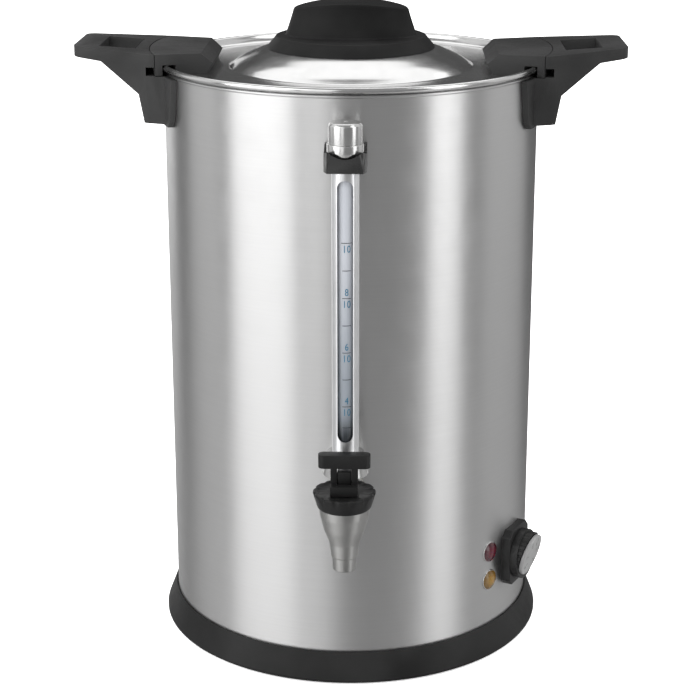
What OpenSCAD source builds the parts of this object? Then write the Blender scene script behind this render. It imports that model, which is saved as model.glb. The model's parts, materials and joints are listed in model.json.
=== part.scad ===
// Catering coffee urn with a tap, a sight gauge, a thermostat dial and a percolating basket.
// The origin is where the tank's axis meets the counter. Front is -Y, and the handles are at +X and -X.

/* [Body] */
// Outer radius of the shell
body_r = 135; // [125:1:160]
// Height of the shell and its rim above the base ring
shell_h = 401.3; // [340:0.1:480]
// Sheet thickness of the shell
shell_t = 0.8; // [0.6:0.1:1.2]
// Radius of the rolled bead on the shell's rim
bead_r = 1.2; // [1:0.1:1.6]
// Gap between the shell and the tank
tank_gap = 3.7; // [3.5:0.1:8]
// Sheet thickness of the tank
tank_t = 1; // [0.8:0.1:1.5]
// Height of the tank's floor above the counter
tank_floor_z = 125; // [122:1:128]
// Inside radius of the well in the tank's floor
well_r = 24; // [22:1:28]
// Depth of that well
well_depth = 8; // [5:0.5:10]

/* [Base] */
// Height of the base ring's top above the counter
base_top = 22; // [20:1:28]
// How far the base ring flares beyond the shell
base_flare = 8.5; // [5:0.5:12]
// Ledge between the shell and the base ring's top edge
base_ledge = 1.4; // [1:0.1:3]
// Wall of the base ring
base_wall = 3; // [2.4:0.1:4]
// Height of the rubber feet up to the bottom cover
foot_h = 8.8; // [8:0.1:9.5]
// Radius of a foot's sole
foot_r = 11; // [9:0.5:14]
// Thickness of the bottom cover
cover_t = 1.2; // [1:0.1:2]

/* [Lid] */
// How far the lid's rim reaches beyond the shell
lid_over = 4; // [3:0.1:6]
// Radius of the lid's rolled rim
lid_bead_r = 2.2; // [1.6:0.1:2.6]
// Sheet thickness of the lid
lid_t = 1; // [0.8:0.1:1.2]
// Radius of the dome's foot
dome_r = 85; // [78:1:92]
// Height of the dome above the flat ring
dome_h = 14.2; // [10:0.2:20]
// Thickness of the lid's gasket
gasket_h = 2.7; // [2:0.1:4]

/* [Lid knob] */
// Radius of the knob's flare where it meets the lid
knob_r = 60.5; // [56:0.5:64]
// Radius of the ledge on the flare
knob_ledge_r = 53.7; // [50:0.5:56]
// Height of the flare
knob_flare_h = 8.6; // [6:0.2:12]
// Half length of the grip at its foot
grip_a = 46.8; // [42:0.2:49]
// Half width of the grip at its foot
grip_b = 27.5; // [22:0.5:34]
// How far the grip's sides draw in towards its top
grip_draft = 4.3; // [2:0.1:7]
// Height of the grip above the ledge, at its middle
grip_h = 24.3; // [18:0.1:32]
// How much lower the grip's ends are than its middle
grip_crown = 4.8; // [2:0.1:8]

/* [Handles] */
// How far a handle reaches beyond the shell
handle_reach = 61; // [54:1:70]
// Half width of a handle at the seam with the lid lug
handle_half_w = 49.5; // [40:0.5:56]
// Half width of a handle at its outer end
tip_half_w = 35.6; // [28:0.2:44]
// Thickness of the grip at its outer end
grip_t = 7.5; // [6:0.1:10]
// Distance from the shell to the seam between handle and lid lug
seam_out = 10; // [9:0.5:12]
// Half width of the finger slot
slot_half_w = 24; // [20:0.5:28]
// Length of the finger slot, away from the body
slot_len = 26; // [22:0.5:28]
// Wrap of the saddle to each side, in degrees
saddle_wrap = 28.6; // [26:0.2:32]
// Thickness of the saddle on the shell
saddle_t = 3.6; // [2.6:0.1:5]
// Length of a lid lug, inward from the seam
lug_len = 48.6; // [44:0.2:54]
// Half width of a lid lug at its inner end
lug_nose_half_w = 37; // [30:0.5:42]

/* [Tap] */
// Distance from the shell to the tap's axis
tap_out = 46; // [44:0.5:54]
// Height of the tap's shank above the counter
shank_z = 145; // [144:1:150]
// Outer radius of the threaded shank
shank_r = 9; // [8:0.1:10]
// Radius of the shank's bore
shank_bore_r = 5; // [4:0.1:6]
// Radius of the outlet bore under the seat
outlet_r = 5.5; // [4:0.1:6]
// Height of the cup from the spout's mouth to its brim
cup_h = 45.5; // [42:0.5:52]
// Radius of the cup's brim
cup_r = 17.25; // [16:0.25:20]
// Radius of the bonnet's top edge
bonnet_r = 21.1; // [20:0.1:24]
// Height of the bonnet
bonnet_h = 11; // [9:0.5:13]
// Radius of the valve stem
stem_r = 3; // [2.5:0.1:3.5]
// Running clearance of moving shafts, all round
run_gap = 0.06; // [0.03:0.01:0.1]
// Width of the lever's crossbar
bar_w = 34.9; // [28:0.1:44]
// Distance from the lever's pin to the front of its heel
heel_len = 12; // [10:0.5:13]

/* [Sight gauge] */
// Distance from the shell to the gauge's axis
gauge_out = 17; // [16.5:0.5:20]
// Outer radius of the gauge's shield
shield_r = 9.25; // [8.75:0.25:9.5]
// Wall of the shield
shield_t = 1; // [0.8:0.1:1.4]
// Width of the window in the shield
window_w = 10.5; // [8:0.5:12]
// Outer radius of the sight glass
glass_r = 6; // [5.5:0.1:6.4]
// Wall of the sight glass
glass_t = 1.5; // [1:0.1:2]
// Height of a tenth of the filling on the level scale
tenth_h = 18.9; // [15:0.1:19.5]

/* [Front panel] */
// Angle of the lamps from the front, in degrees
lamp_az = 50; // [44:1:54]
// Height of the lower lamp
lamp_z = 57.2; // [50:0.2:62]
// Distance between the lamps
lamp_pitch = 22.1; // [18:0.1:26]
// Outer radius of a lamp's bezel
bezel_r = 7.8; // [7:0.1:9]
// Angle of the dial from the front, in degrees
dial_az = 64; // [62:1:70]
// Height of the dial's axis
dial_z = 68; // [62:0.5:74]
// Width of the dial's plate
plate_w = 34; // [30:0.5:38]
// Height of the dial's plate
plate_h = 39.4; // [36:0.2:46]
// Thickness of the dial's plate at its middle
plate_t = 6; // [4:0.5:8]
// Radius of the knob's skirt
dial_r = 18.5; // [16:0.5:19]
// Number of grip ribs round the dial's knob
dial_ribs = 24; // [16:1:30]

/* [Brewer] */
// Outer radius of the pump tube
pump_r = 6; // [5:0.5:8]
// Wall of the pump tube
pump_t = 0.9; // [0.8:0.1:1.2]
// Gap between the basket and the tank's wall
basket_gap = 29.5; // [10:0.5:40]
// Height of the basket
basket_h = 58; // [40:1:70]
// Distance from the rim down to the basket's brim
basket_drop = 20; // [12:1:30]

/* [Hidden] */
$fn = 96;

// Finishes
steel = [0.78, 0.78, 0.77];
bright = [0.86, 0.87, 0.88];
black = [0.16, 0.16, 0.17];
charcoal = [0.22, 0.22, 0.23];
rubber_black = [0.1, 0.1, 0.1];
silicone = [0.82, 0.8, 0.76];

// Clearances
hair = 0.15;      // between fixed curved faces that seat on each other
slack = 0.3;      // between a moving piece and what it sits near
cut = 1;          // how far a cutting tool runs past a face

// Body
rim_z = base_top + shell_h;
shell_in = body_r - shell_t;
tank_r = shell_in - tank_gap;
tank_in = tank_r - tank_t;
shell_seat_z = base_top - 1;
flange_z = rim_z - 6;                  // underside of the tank's flange
flange_lip_h = 2.7;
tank_corner = 6;

// Base
base_foot_z = 1.5;
base_r = body_r + base_flare;
cover_z = foot_h;
cover_r = body_r - 2;
foot_pcr = body_r - 25;                // radius of the circle the feet stand on
foot_angles = [45, 135, 225, 315];
rod_r = 2.5;
rod_pcr = body_r - 35;
rod_angles = [30, 150, 270];
nut_h = 4;
nut_r = 4.6;                           // across the corners
bolt_gap = 0.3;

// Lid, in heights above its flat ring
lid_flat_z = flange_z + tank_t + gasket_h + lid_t;
dome_z = lid_flat_z + dome_h;          // top of the dome
lid_r = body_r + lid_over;
lid_bead_z = lid_flat_z + 4.2;
flat_out_r = tank_r + 1;
knob_foot_z = dome_z - 0.8;
ledge_z = knob_foot_z + knob_flare_h;
crown_r = (pow(grip_a - grip_draft, 2) + pow(grip_crown, 2)) / (2 * grip_crown);
lug_screw_x = body_r - 24;
lug_screw_y = 24;
knob_screw_x = 30;

// Handles and lugs
seam_r = body_r + seam_out;
seam_gap = 0.5;
handle_floor_z = rim_z - 2.5;          // top of the handle below the lid's rim
tip_x = body_r + handle_reach;
groove_r = body_r + 15.7;
lug_top_z = rim_z + 12.7;
lug_floor_z = handle_floor_z + 0.4;
slot_x = body_r + 17.5;
saddle_bottom_z = rim_z - 37.3;
boss_az = 13;                          // handle screws, to each side of the handle's middle
boss_z = rim_z - 22;

// Tap
tap_y = -(body_r + tap_out);
spout_z = shank_z - 36.5;
seat_z = shank_z - 9;
brim_z = max(spout_z + cup_h, shank_z + shank_r); // the bonnet clears the shank
neck_r = cup_r - 2.25;
neck_h = 6.5;
chamber_r = 10.5;
bonnet_top_z = brim_z + bonnet_h;
bonnet_plate = 3.7;
pin_z = bonnet_top_z + 3.3;
pin_r = 1.5;
head_w = 9.4;
cheek_gap = 0.2;
lever_w = 18.3;
stem_flange_z = seat_z + 5;

// Gauge
gauge_y = -(body_r + gauge_out);
gauge_boss_r = 7.4;
gauge_boss_z = bonnet_top_z + 3;
nut_bottom_z = bonnet_top_z + 1.5;
nut_top_z = bonnet_top_z + 17;
shield_bottom_z = nut_bottom_z + 4;
shield_top_z = rim_z - 31;
cap_z = rim_z - 28.3;
cap_h = 14;
collar_r = 12.25;
collar_z = rim_z - 38.3;
clamp_z = rim_z - 46.3;
clamp_h = 15;
clamp_half_w = 14;
glass_bottom_z = shank_z + 4;
glass_top_z = cap_z + 6;
window_bottom_z = nut_top_z + 9.3;
window_top_z = clamp_z - 5.2;
zero_z = shank_z - shank_bore_r + 0.6; // an empty urn's level, at the tap's outlet

// Valve spring
spring_wire = 0.6;
spring_mean = 6.6;
spring_turns = 6;
spring_low = stem_flange_z + 2 + spring_wire + 0.05;
spring_high = brim_z + bonnet_h - bonnet_plate - spring_wire - 0.05;

// Heating, under the tank's floor
plate_bottom_z = tank_floor_z - 5;
element_r = 4;
warm_r = 3.2;
element_loop_r = 78;
loop_start = 105;                      // where a loop starts, in degrees
leg_inset = 4;                         // a loop's legs stand this many degrees in from its ends
leg_len = 30;

// Power inlet
inlet_z = 60;
inlet_w = 27.5;
inlet_h = 20;
inlet_pins_at = [[-7, -2.5], [7, -2.5], [0, 3]];

// Terminal block, and the height of its wires
block_at = [28, 70];
block_wire_z = cover_z + cover_t + 8;

// Dial, measured outward from the plate's face
plate_out = body_r + plate_t;
knob_gap = 0.3;
spindle_r = 3;
spindle_reach = 6;
skirt_h = 5.6;
step_r = dial_r - 1.5;
face_r = dial_r - 3;
face_mid = 10.4;                       // the slanted face's distance out, at its middle
face_slope = 0.258;
face_t = 3;

// Brewer
pump_foot_z = tank_floor_z - well_depth + tank_t + slack;
pump_top_z = rim_z - 13;
basket_top_z = rim_z - basket_drop;
basket_bottom_z = basket_top_z - basket_h;
basket_r = tank_in - basket_gap;
basket_t = 0.8;

// Turns local +Z to point outward at an angle from the front, with local +Y upward
module out_at(az, z = 0) {
    translate([0, 0, z]) rotate([0, 0, az]) rotate([90, 0, 0]) children();
}

module ring(r_out, r_in, h) {
    difference() {
        cylinder(r = r_out, h = h);
        translate([0, 0, -cut]) cylinder(r = r_in, h = h + 2 * cut);
    }
}

module pan_head(r_shank, h_shank, r_head, h_head) {
    translate([0, 0, -h_head]) cylinder(r = r_head, h = h_head);
    translate([0, 0, -0.01]) cylinder(r = r_shank, h = h_shank + 0.01);
}

module chamfered_plate(w, h, c) {
    polygon([
        [-w / 2 + c, -h / 2], [w / 2 - c, -h / 2], [w / 2, -h / 2 + c], [w / 2, h / 2 - c],
        [w / 2 - c, h / 2], [-w / 2 + c, h / 2], [-w / 2, h / 2 - c], [-w / 2, -h / 2 + c]
    ]);
}

// A smooth curve through points, then a tube along it
function through(p0, p1, p2, p3, t) =
    0.5 * (2 * p1 + (p2 - p0) * t + (2 * p0 - 5 * p1 + 4 * p2 - p3) * t * t
    + (3 * p1 - p0 - 3 * p2 + p3) * t * t * t);
function smooth(pts, steps) = let (n = len(pts)) [
    for (i = [0 : n - 2], s = [0 : steps - 1])
        through(pts[max(i - 1, 0)], pts[i], pts[i + 1], pts[min(i + 2, n - 1)], s / steps),
    pts[n - 1]
];
function unit(v) = v / norm(v);
function heading(p, i) = unit(p[min(i + 1, len(p) - 1)] - p[max(i - 1, 0)]);
function side_of(d, u) = unit(cross(d, u));
function frames(p, i = 0, u = [0.31, 0.17, 0.93]) =
    i >= len(p) ? [] : let (d = heading(p, i), s = side_of(d, u), up = cross(s, d))
    concat([[s, up]], frames(p, i + 1, up));

module tube(pts, r, steps = 5, sides = 8) {
    path = smooth(pts, steps);
    fr = frames(path);
    n = len(path);
    points = [
        for (i = [0 : n - 1], k = [0 : sides - 1]) let (a = 360 * k / sides)
            path[i] + r * (cos(a) * fr[i][0] + sin(a) * fr[i][1])
    ];
    skin = [
        for (i = [0 : n - 2], k = [0 : sides - 1]) let (a = i * sides, b = (k + 1) % sides)
            [a + k, a + b, a + sides + b, a + sides + k]
    ];
    near = [for (k = [sides - 1 : -1 : 0]) k];
    far = [for (k = [0 : sides - 1]) (n - 1) * sides + k];
    polyhedron(points, concat(skin, [near], [far]));
}

// ---- Base ----

module base_ring() color(charcoal) rotate_extrude() polygon([
    [base_r, base_foot_z], [base_r, base_foot_z + 2], [body_r + base_ledge, base_top],
    [body_r + 0.6, base_top], [body_r + 0.6, shell_seat_z],
    [shell_in - hair, shell_seat_z], [shell_in - hair, base_top + 8],
    [shell_in - hair - 2.4, base_top + 8], [shell_in - hair - 2.4, cover_z + cover_t + 3],
    [cover_r - 7, cover_z + cover_t + 3], [cover_r - 7, cover_z + cover_t],
    [base_r - base_wall - 1.5, cover_z + cover_t],
    [base_r - base_wall, base_foot_z + 2], [base_r - base_wall, base_foot_z]
]);

module bottom_cover() color(steel) translate([0, 0, cover_z]) difference() {
    cylinder(r = cover_r, h = cover_t);
    for (a = rod_angles) rotate([0, 0, a]) translate([rod_pcr, 0, -cut])
        cylinder(r = rod_r + bolt_gap, h = cover_t + 2 * cut);
    for (a = foot_angles) rotate([0, 0, a]) translate([foot_pcr, 0, -cut])
        cylinder(r = 2 + bolt_gap, h = cover_t + 2 * cut);
    for (k = [0 : 11], r = [40, 54]) rotate([0, 0, 30 * k + r]) translate([r, 0, -cut])
        cylinder(r = 3, h = cover_t + 2 * cut);
}

module rubber_feet() color(rubber_black)
    for (a = foot_angles) rotate([0, 0, a]) translate([foot_pcr, 0, 0]) difference() {
        cylinder(r1 = foot_r, r2 = foot_r + 1.5, h = foot_h);
        translate([0, 0, -cut]) cylinder(r = 5, h = 4 + cut);
        cylinder(r = 2, h = foot_h + cut);
    }

module foot_screws() color(bright)
    for (a = foot_angles) rotate([0, 0, a]) translate([foot_pcr, 0, 4])
        pan_head(1.97, foot_h + 2, 3.8, 2.2);

module tie_rods() color(bright)
    for (a = rod_angles) rotate([0, 0, a]) translate([rod_pcr, 0, cover_z - nut_h])
        cylinder(r = rod_r, h = tank_floor_z - cover_z + nut_h);

module tie_nuts() color(bright)
    for (a = rod_angles) rotate([0, 0, a]) translate([rod_pcr, 0, cover_z - nut_h + 0.2])
        difference() {
            cylinder(r = nut_r, h = nut_h - 0.2, $fn = 6);
            translate([0, 0, -cut]) cylinder(r = rod_r + 0.02, h = nut_h + cut);
        }

// ---- Shell and tank ----

module outer_shell() color(steel) difference() {
    union() {
        translate([0, 0, shell_seat_z]) ring(body_r, shell_in, rim_z - bead_r - shell_seat_z);
        translate([0, 0, rim_z - bead_r]) rotate_extrude()
            translate([body_r, 0]) circle(r = bead_r, $fn = 24);
    }
    for (k = [0, 1]) out_at(lamp_az, lamp_z + k * lamp_pitch)
        translate([0, 0, shell_in - 5]) cylinder(r = bezel_r - 1.6, h = 10);
    out_at(dial_az, dial_z) translate([0, 0, shell_in - 5]) {
        cylinder(r = 6, h = 10);
        for (s = [-1, 1]) translate([0, 13 * s, 0]) cylinder(r = 1.5 + bolt_gap, h = 10);
    }
    out_at(0, shank_z) translate([0, 0, shell_in - 5]) cylinder(r = shank_r + bolt_gap, h = 10);
    out_at(0, clamp_z + clamp_h / 2) translate([0, 0, shell_in - 5])
        cylinder(r = 2 + bolt_gap, h = 10);
    for (side = [-90, 90], s = [-1, 1]) out_at(side + s * boss_az, boss_z)
        translate([0, 0, shell_in - 5]) cylinder(r = 2.25 + bolt_gap, h = 10);
    out_at(180, inlet_z) translate([0, 0, shell_in - 8]) {
        translate([-inlet_w / 2 - 0.3, -inlet_h / 2 - 0.3, 0])
            cube([inlet_w + 0.6, inlet_h + 0.6, 16]);
        for (s = [-1, 1]) translate([20 * s, 0, 0]) cylinder(r = 1.75 + bolt_gap, h = 16);
    }
}

module inner_tank() color(steel) {
    z0 = tank_floor_z;
    z1 = flange_z;
    c = tank_corner;
    difference() {
        rotate_extrude() polygon([
            [0, z0 - well_depth], [well_r + tank_t, z0 - well_depth], [well_r + tank_t, z0],
            [tank_r - c, z0], [tank_r - c * 0.3, z0 + c * 0.3], [tank_r, z0 + c],
            [tank_r, z1], [shell_in, z1], [shell_in, z1 + tank_t + flange_lip_h],
            [shell_in - tank_t, z1 + tank_t + flange_lip_h], [shell_in - tank_t, z1 + tank_t],
            [tank_in, z1 + tank_t], [tank_in, z0 + c + 0.4],
            [tank_in - c * 0.3 + 0.2, z0 + tank_t + c * 0.3 + 0.2], [tank_in - c, z0 + tank_t],
            [well_r, z0 + tank_t], [well_r, z0 - well_depth + tank_t],
            [0, z0 - well_depth + tank_t]
        ]);
        out_at(0, shank_z) translate([0, 0, tank_in - 8])
            cylinder(r = shank_r + bolt_gap, h = 16);
    }
}

// ---- Heating ----

module heater_plate() color([0.7, 0.71, 0.72])
    translate([0, 0, tank_floor_z - 5]) ring(92, well_r + tank_t + 5, 5);

module sheathed_loop(loop_r, sheath_r, az) rotate([0, 0, az]) {
    rotate_extrude(angle = 330) translate([loop_r, 0]) circle(r = sheath_r, $fn = 32);
    for (a = [leg_inset, 330 - leg_inset]) rotate([0, 0, a]) translate([loop_r, 0, -leg_len])
        cylinder(r = sheath_r * 0.6, h = leg_len);
}

module heating_element() color([0.35, 0.34, 0.33])
    translate([0, 0, plate_bottom_z - element_r]) sheathed_loop(element_loop_r, element_r, loop_start);

module keep_warm_element() color([0.35, 0.34, 0.33])
    translate([0, 0, plate_bottom_z - warm_r]) sheathed_loop(50, warm_r, loop_start);

module thermal_cutout() color(black)
    translate([0, -64, tank_floor_z - 5]) {
        translate([0, 0, -7]) cylinder(r = 8, h = 7);
        for (s = [-1, 1]) translate([s * 5 - 1.5, -0.4, -14]) cube([3, 0.8, 7.1]);
    }

module thermostat() color([0.75, 0.75, 0.72])
    out_at(dial_az, dial_z) difference() {
        union() {
            translate([-17, -17, body_r - 31]) cube([34, 34, 24]);
            translate([0, 0, body_r - 7.1]) cylinder(r = 4.8, h = plate_t + 7.1);
        }
        translate([0, 0, body_r - 20]) cylinder(r = spindle_r + run_gap, h = 40);
        for (s = [-1, 1]) translate([0, 13 * s, body_r - 16]) cylinder(r = 1.5, h = 20);
    }

module plate_screws() color(bright)
    out_at(dial_az, dial_z) for (s = [-1, 1]) translate([0, 13 * s, plate_out - 1.8])
        rotate([180, 0, 0]) pan_head(1.5, plate_t + 9, 2.8, 1.6);

module capillary() color([0.72, 0.45, 0.3]) {
    bulb_y = 62;
    case_r = body_r - 31.2;            // the thermostat's own back
    translate([-30, bulb_y, tank_floor_z - 5 - 3.2]) rotate([0, 90, 0]) cylinder(r = 3, h = 55);
    tube([
        [25, bulb_y, 116.8], [40, 58, 112], [58, 40, 100], [66, 18, 90], [68, -6, 84],
        [0.732 * case_r, -0.231 * case_r, 78], [0.919 * case_r, -0.395 * case_r, 74]
    ], 0.9, 5, 8);
}

module terminal_block() color([0.88, 0.86, 0.78])
    translate([block_at[0] - 24, block_at[1] - 9, cover_z + cover_t]) difference() {
        cube([48, 18, 16]);
        for (k = [0 : 3]) translate([6 + 12 * k, 4.5, 8]) cylinder(r = 2, h = 10);
    }

// Points for a straight stretch that leaves p along d, or comes in against d to p
function lead_out(p, d) = [p, p + 3 * d, p + 6 * d];
function lead_in(p, d) = [p + 6 * d, p + 3 * d, p];
function outward(az) = [sin(az), -cos(az), 0];
function sideways(az) = [cos(az), sin(az), 0];

module wiring() {
    z = block_wire_z;
    block_x = [for (k = [0 : 3]) block_at[0] - 18 + 12 * k];
    block_back = block_at[1] + 9.2;
    block_front = block_at[1] - 9.2;
    wire_end_r = body_r - 31.2;        // where the wires meet the tabs behind the shell
    leg_az = loop_start + leg_inset;
    leg = [element_loop_r * cos(leg_az), element_loop_r * sin(leg_az),
           plate_bottom_z - element_r - leg_len - 0.2];
    up = [0, 0, 1];
    back = [0, 1, 0];
    pins = [
        [-7, wire_end_r, inlet_z - 2.5], [0, wire_end_r, inlet_z + 3], [7, wire_end_r, inlet_z - 2.5]
    ];
    for (k = [0 : 2]) {
        end = [block_x[k], block_back, z];
        color([[0.5, 0.32, 0.2], [0.45, 0.6, 0.2], [0.2, 0.35, 0.65]][k])
            tube(concat(lead_out(pins[k], -back), [(pins[k] + end) / 2], lead_in(end, back)), 1.3);
    }
    color([0.5, 0.32, 0.2]) tube(concat(
        lead_out([block_x[0], block_front, z], -back),
        [[12, 30, z + 2], [30, -14, 28], [52, -44, 44]],
        lead_in(wire_end_r * outward(lamp_az) + 2.5 * sideways(lamp_az) + lamp_z * up,
            -outward(lamp_az))), 1.3);
    color([0.2, 0.35, 0.65]) tube(concat(
        lead_out([block_x[2], block_front, z], -back),
        [[42, 36, z + 3], [58, 8, 32], [74, -20, 48]],
        lead_in(wire_end_r * outward(dial_az) + (dial_z - 8) * up, -outward(dial_az))), 1.3);
    color([0.75, 0.3, 0.25]) tube(concat(
        lead_out([block_x[3], block_front, z], -back),
        [[44, 46, z + 14], [16, 52, 54], leg - 14 * up - 4 * back], lead_in(leg, -up)), 1.3);
}

// ---- Handles ----

module handle_body() {
    difference() {
        intersection() {
            // side view
            translate([0, handle_half_w + 4, 0]) rotate([90, 0, 0])
                linear_extrude(2 * handle_half_w + 8) polygon([
                    [body_r - 22, handle_floor_z - 34.8], [body_r + 9.5, handle_floor_z - 32.7],
                    [body_r + 13.3, rim_z - 15.1], [tip_x - 20.6, rim_z + 6.7],
                    [tip_x, rim_z + 16.7 - grip_t], [tip_x, rim_z + 16.7],
                    [seam_r - 6, lug_top_z], [body_r - 22, lug_top_z]
                ]);
            // plan
            translate([0, 0, saddle_bottom_z]) linear_extrude(80) hull() {
                translate([body_r - 22, -handle_half_w]) square([28, 2 * handle_half_w]);
                for (s = [-1, 1]) translate([tip_x - 9, s * (tip_half_w - 9)])
                    circle(r = 9, $fn = 48);
            }
        }
        translate([0, 0, saddle_bottom_z - 5]) cylinder(r = body_r + hair, h = 80);
        translate([0, 0, handle_floor_z]) cylinder(r = seam_r, h = 40);
        translate([0, 0, handle_floor_z + 0.6]) cylinder(r = groove_r, h = 5.9);
        translate([slot_x, -slot_half_w, rim_z - 30]) cube([slot_len, 2 * slot_half_w, 60]);
    }
    // saddle on the shell
    intersection() {
        translate([0, 0, saddle_bottom_z]) ring(body_r + saddle_t, body_r + hair,
            handle_floor_z - saddle_bottom_z);
        translate([0, 0, 0]) rotate([90, 0, 90]) linear_extrude(body_r + 20) polygon([
            [-body_r * sin(saddle_wrap - 4.6), saddle_bottom_z],
            [body_r * sin(saddle_wrap - 4.6), saddle_bottom_z],
            [body_r * sin(saddle_wrap - 2.4), saddle_bottom_z + 5],
            [body_r * sin(saddle_wrap), handle_floor_z],
            [-body_r * sin(saddle_wrap), handle_floor_z],
            [-body_r * sin(saddle_wrap - 2.4), saddle_bottom_z + 5]
        ]);
    }
}

module handle_right() color(black) difference() {
    handle_body();
    for (s = [-1, 1]) out_at(90 + s * boss_az, boss_z)
        translate([0, 0, body_r - 5]) cylinder(r = 2.25, h = 5 + 9);
}

module handle_left() color(black) mirror([1, 0, 0]) difference() {
    handle_body();
    for (s = [-1, 1]) out_at(90 + s * boss_az, boss_z)
        translate([0, 0, body_r - 5]) cylinder(r = 2.25, h = 5 + 9);
}

module handle_screws() color(bright)
    for (side = [-90, 90], s = [-1, 1]) out_at(side + s * boss_az, boss_z)
        translate([0, 0, shell_in - 0.3]) pan_head(2.2, 8.8, 4.2, 2.2);

// ---- Power inlet ----

module inlet_body_box() translate([-inlet_w / 2, -inlet_h / 2, body_r - 24])
    cube([inlet_w, inlet_h, 24]);

module inlet_pin(p) translate([p[0] - 1, p[1] - 2, body_r - 31]) cube([2, 4, 26]);

module power_inlet() color(black) difference() {
    out_at(180, inlet_z) difference() {
        union() {
            translate([0, 0, body_r - 3]) linear_extrude(6.5) chamfered_plate(50, 28, 5);
            inlet_body_box();
        }
        translate([-12.3, -8.3, body_r - 13]) cube([24.6, 16.6, 30]);
        for (p = inlet_pins_at) inlet_pin(p);
        for (s = [-1, 1]) translate([20 * s, 0, body_r - 5]) cylinder(r = 1.75, h = 20);
    }
    // the flange's back follows the shell
    difference() {
        cylinder(r = body_r + hair, h = inlet_z + 40);
        out_at(180, inlet_z) inlet_body_box();
    }
}

module inlet_pins() color([0.8, 0.7, 0.4]) out_at(180, inlet_z)
    for (p = inlet_pins_at) inlet_pin(p);

module inlet_screws() color(bright) out_at(180, inlet_z)
    for (s = [-1, 1]) translate([20 * s, 0, body_r + 3.55])
        rotate([180, 0, 0]) pan_head(1.7, 12, 3.2, 1.8);

// ---- Lamps ----

module lamp_at(k) out_at(lamp_az, lamp_z + k * lamp_pitch) children();

module lamp_bezels() color(bright)
    for (k = [0, 1]) lamp_at(k) rotate_extrude() polygon([
        [bezel_r - 1.5, body_r + 0.05], [bezel_r, body_r + 0.05], [bezel_r, body_r + 1],
        [bezel_r - 0.7, body_r + 2], [bezel_r - 1.5, body_r + 2]
    ]);

module lamp_lens(k) lamp_at(k) intersection() {
    translate([0, 0, body_r - 0.9]) cylinder(r = bezel_r - 1.65, h = 6);
    translate([0, 0, body_r - 8.5]) sphere(r = 11.6);
}

module lamp_lens_red() color([0.6, 0.12, 0.16]) lamp_lens(1);
module lamp_lens_amber() color([0.75, 0.52, 0.15]) lamp_lens(0);

module lamp_bodies() color(black)
    for (k = [0, 1]) lamp_at(k) {
        translate([0, 0, body_r - 24]) cylinder(r = bezel_r - 1.75, h = 23.1);
        translate([0, 0, body_r - 6]) ring(bezel_r + 1, bezel_r - 2.5, 3.4);
        for (s = [-1, 1]) translate([s * 2.5 - 0.4, -1.2, body_r - 31]) cube([0.8, 2.4, 7.1]);
    }

// ---- Dial ----

module dial_plate() color(black) difference() {
    out_at(dial_az, dial_z) difference() {
        translate([0, 0, body_r - 3]) linear_extrude(plate_t + 3)
            chamfered_plate(plate_w, plate_h, 7);
        translate([0, 0, body_r - 5]) cylinder(r = 4.8 + 0.05, h = plate_t + 10);
        for (s = [-1, 1]) translate([0, 13 * s, body_r - 5]) {
            cylinder(r = 1.5 + bolt_gap, h = plate_t + 10);
            translate([0, 0, plate_t + 3.2]) cylinder(r = 3.2, h = 5);
        }
    }
    cylinder(r = body_r + hair, h = base_top + 100);
}

// Everything inward of a plane that leans out towards the top
module below_slant(mid) {
    reach = dial_r + 3;
    translate([reach, 0, 0]) rotate([0, -90, 0]) linear_extrude(2 * reach) polygon([
        [-40, -reach], [mid - face_slope * reach, -reach],
        [mid + face_slope * reach, reach], [-40, reach]
    ]);
}

module dial_knob() color(black) out_at(dial_az, dial_z) translate([0, 0, plate_out])
    difference() {
        union() {
            translate([0, 0, knob_gap]) cylinder(r = dial_r, h = skirt_h - knob_gap);
            intersection() {
                difference() {
                    translate([0, 0, 3]) cylinder(r = step_r, h = 12);
                    for (k = [0 : dial_ribs - 1]) rotate([0, 0, 360 * k / dial_ribs])
                        translate([step_r + 0.5, 0, skirt_h]) cylinder(r = 1.1, h = 20, $fn = 16);
                }
                below_slant(face_mid - face_t - 0.4);
            }
            intersection() {
                translate([0, 0, 3]) cylinder(r = face_r - 1.2, h = 12);
                below_slant(face_mid - face_t);
            }
        }
        translate([0, 0, -cut]) cylinder(r = spindle_r + 0.02, h = spindle_reach + 0.2 + cut);
        translate([0, 0, -cut]) cylinder(r = 6, h = 2 + cut);
        // the seat of the face
        difference() {
            cylinder(r = face_r + hair, h = 30);
            below_slant(face_mid - face_t);
        }
    }

module dial_face() color([0.62, 0.63, 0.64])
    out_at(dial_az, dial_z) translate([0, 0, plate_out]) intersection() {
        cylinder(r = face_r, h = 30);
        difference() {
            below_slant(face_mid);
            below_slant(face_mid - face_t + 0.02);
        }
    }

module dial_spindle() color(bright) out_at(dial_az, dial_z)
    translate([0, 0, body_r - 19]) cylinder(r = spindle_r, h = plate_t + 19 + spindle_reach);

// ---- Tap ----

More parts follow.
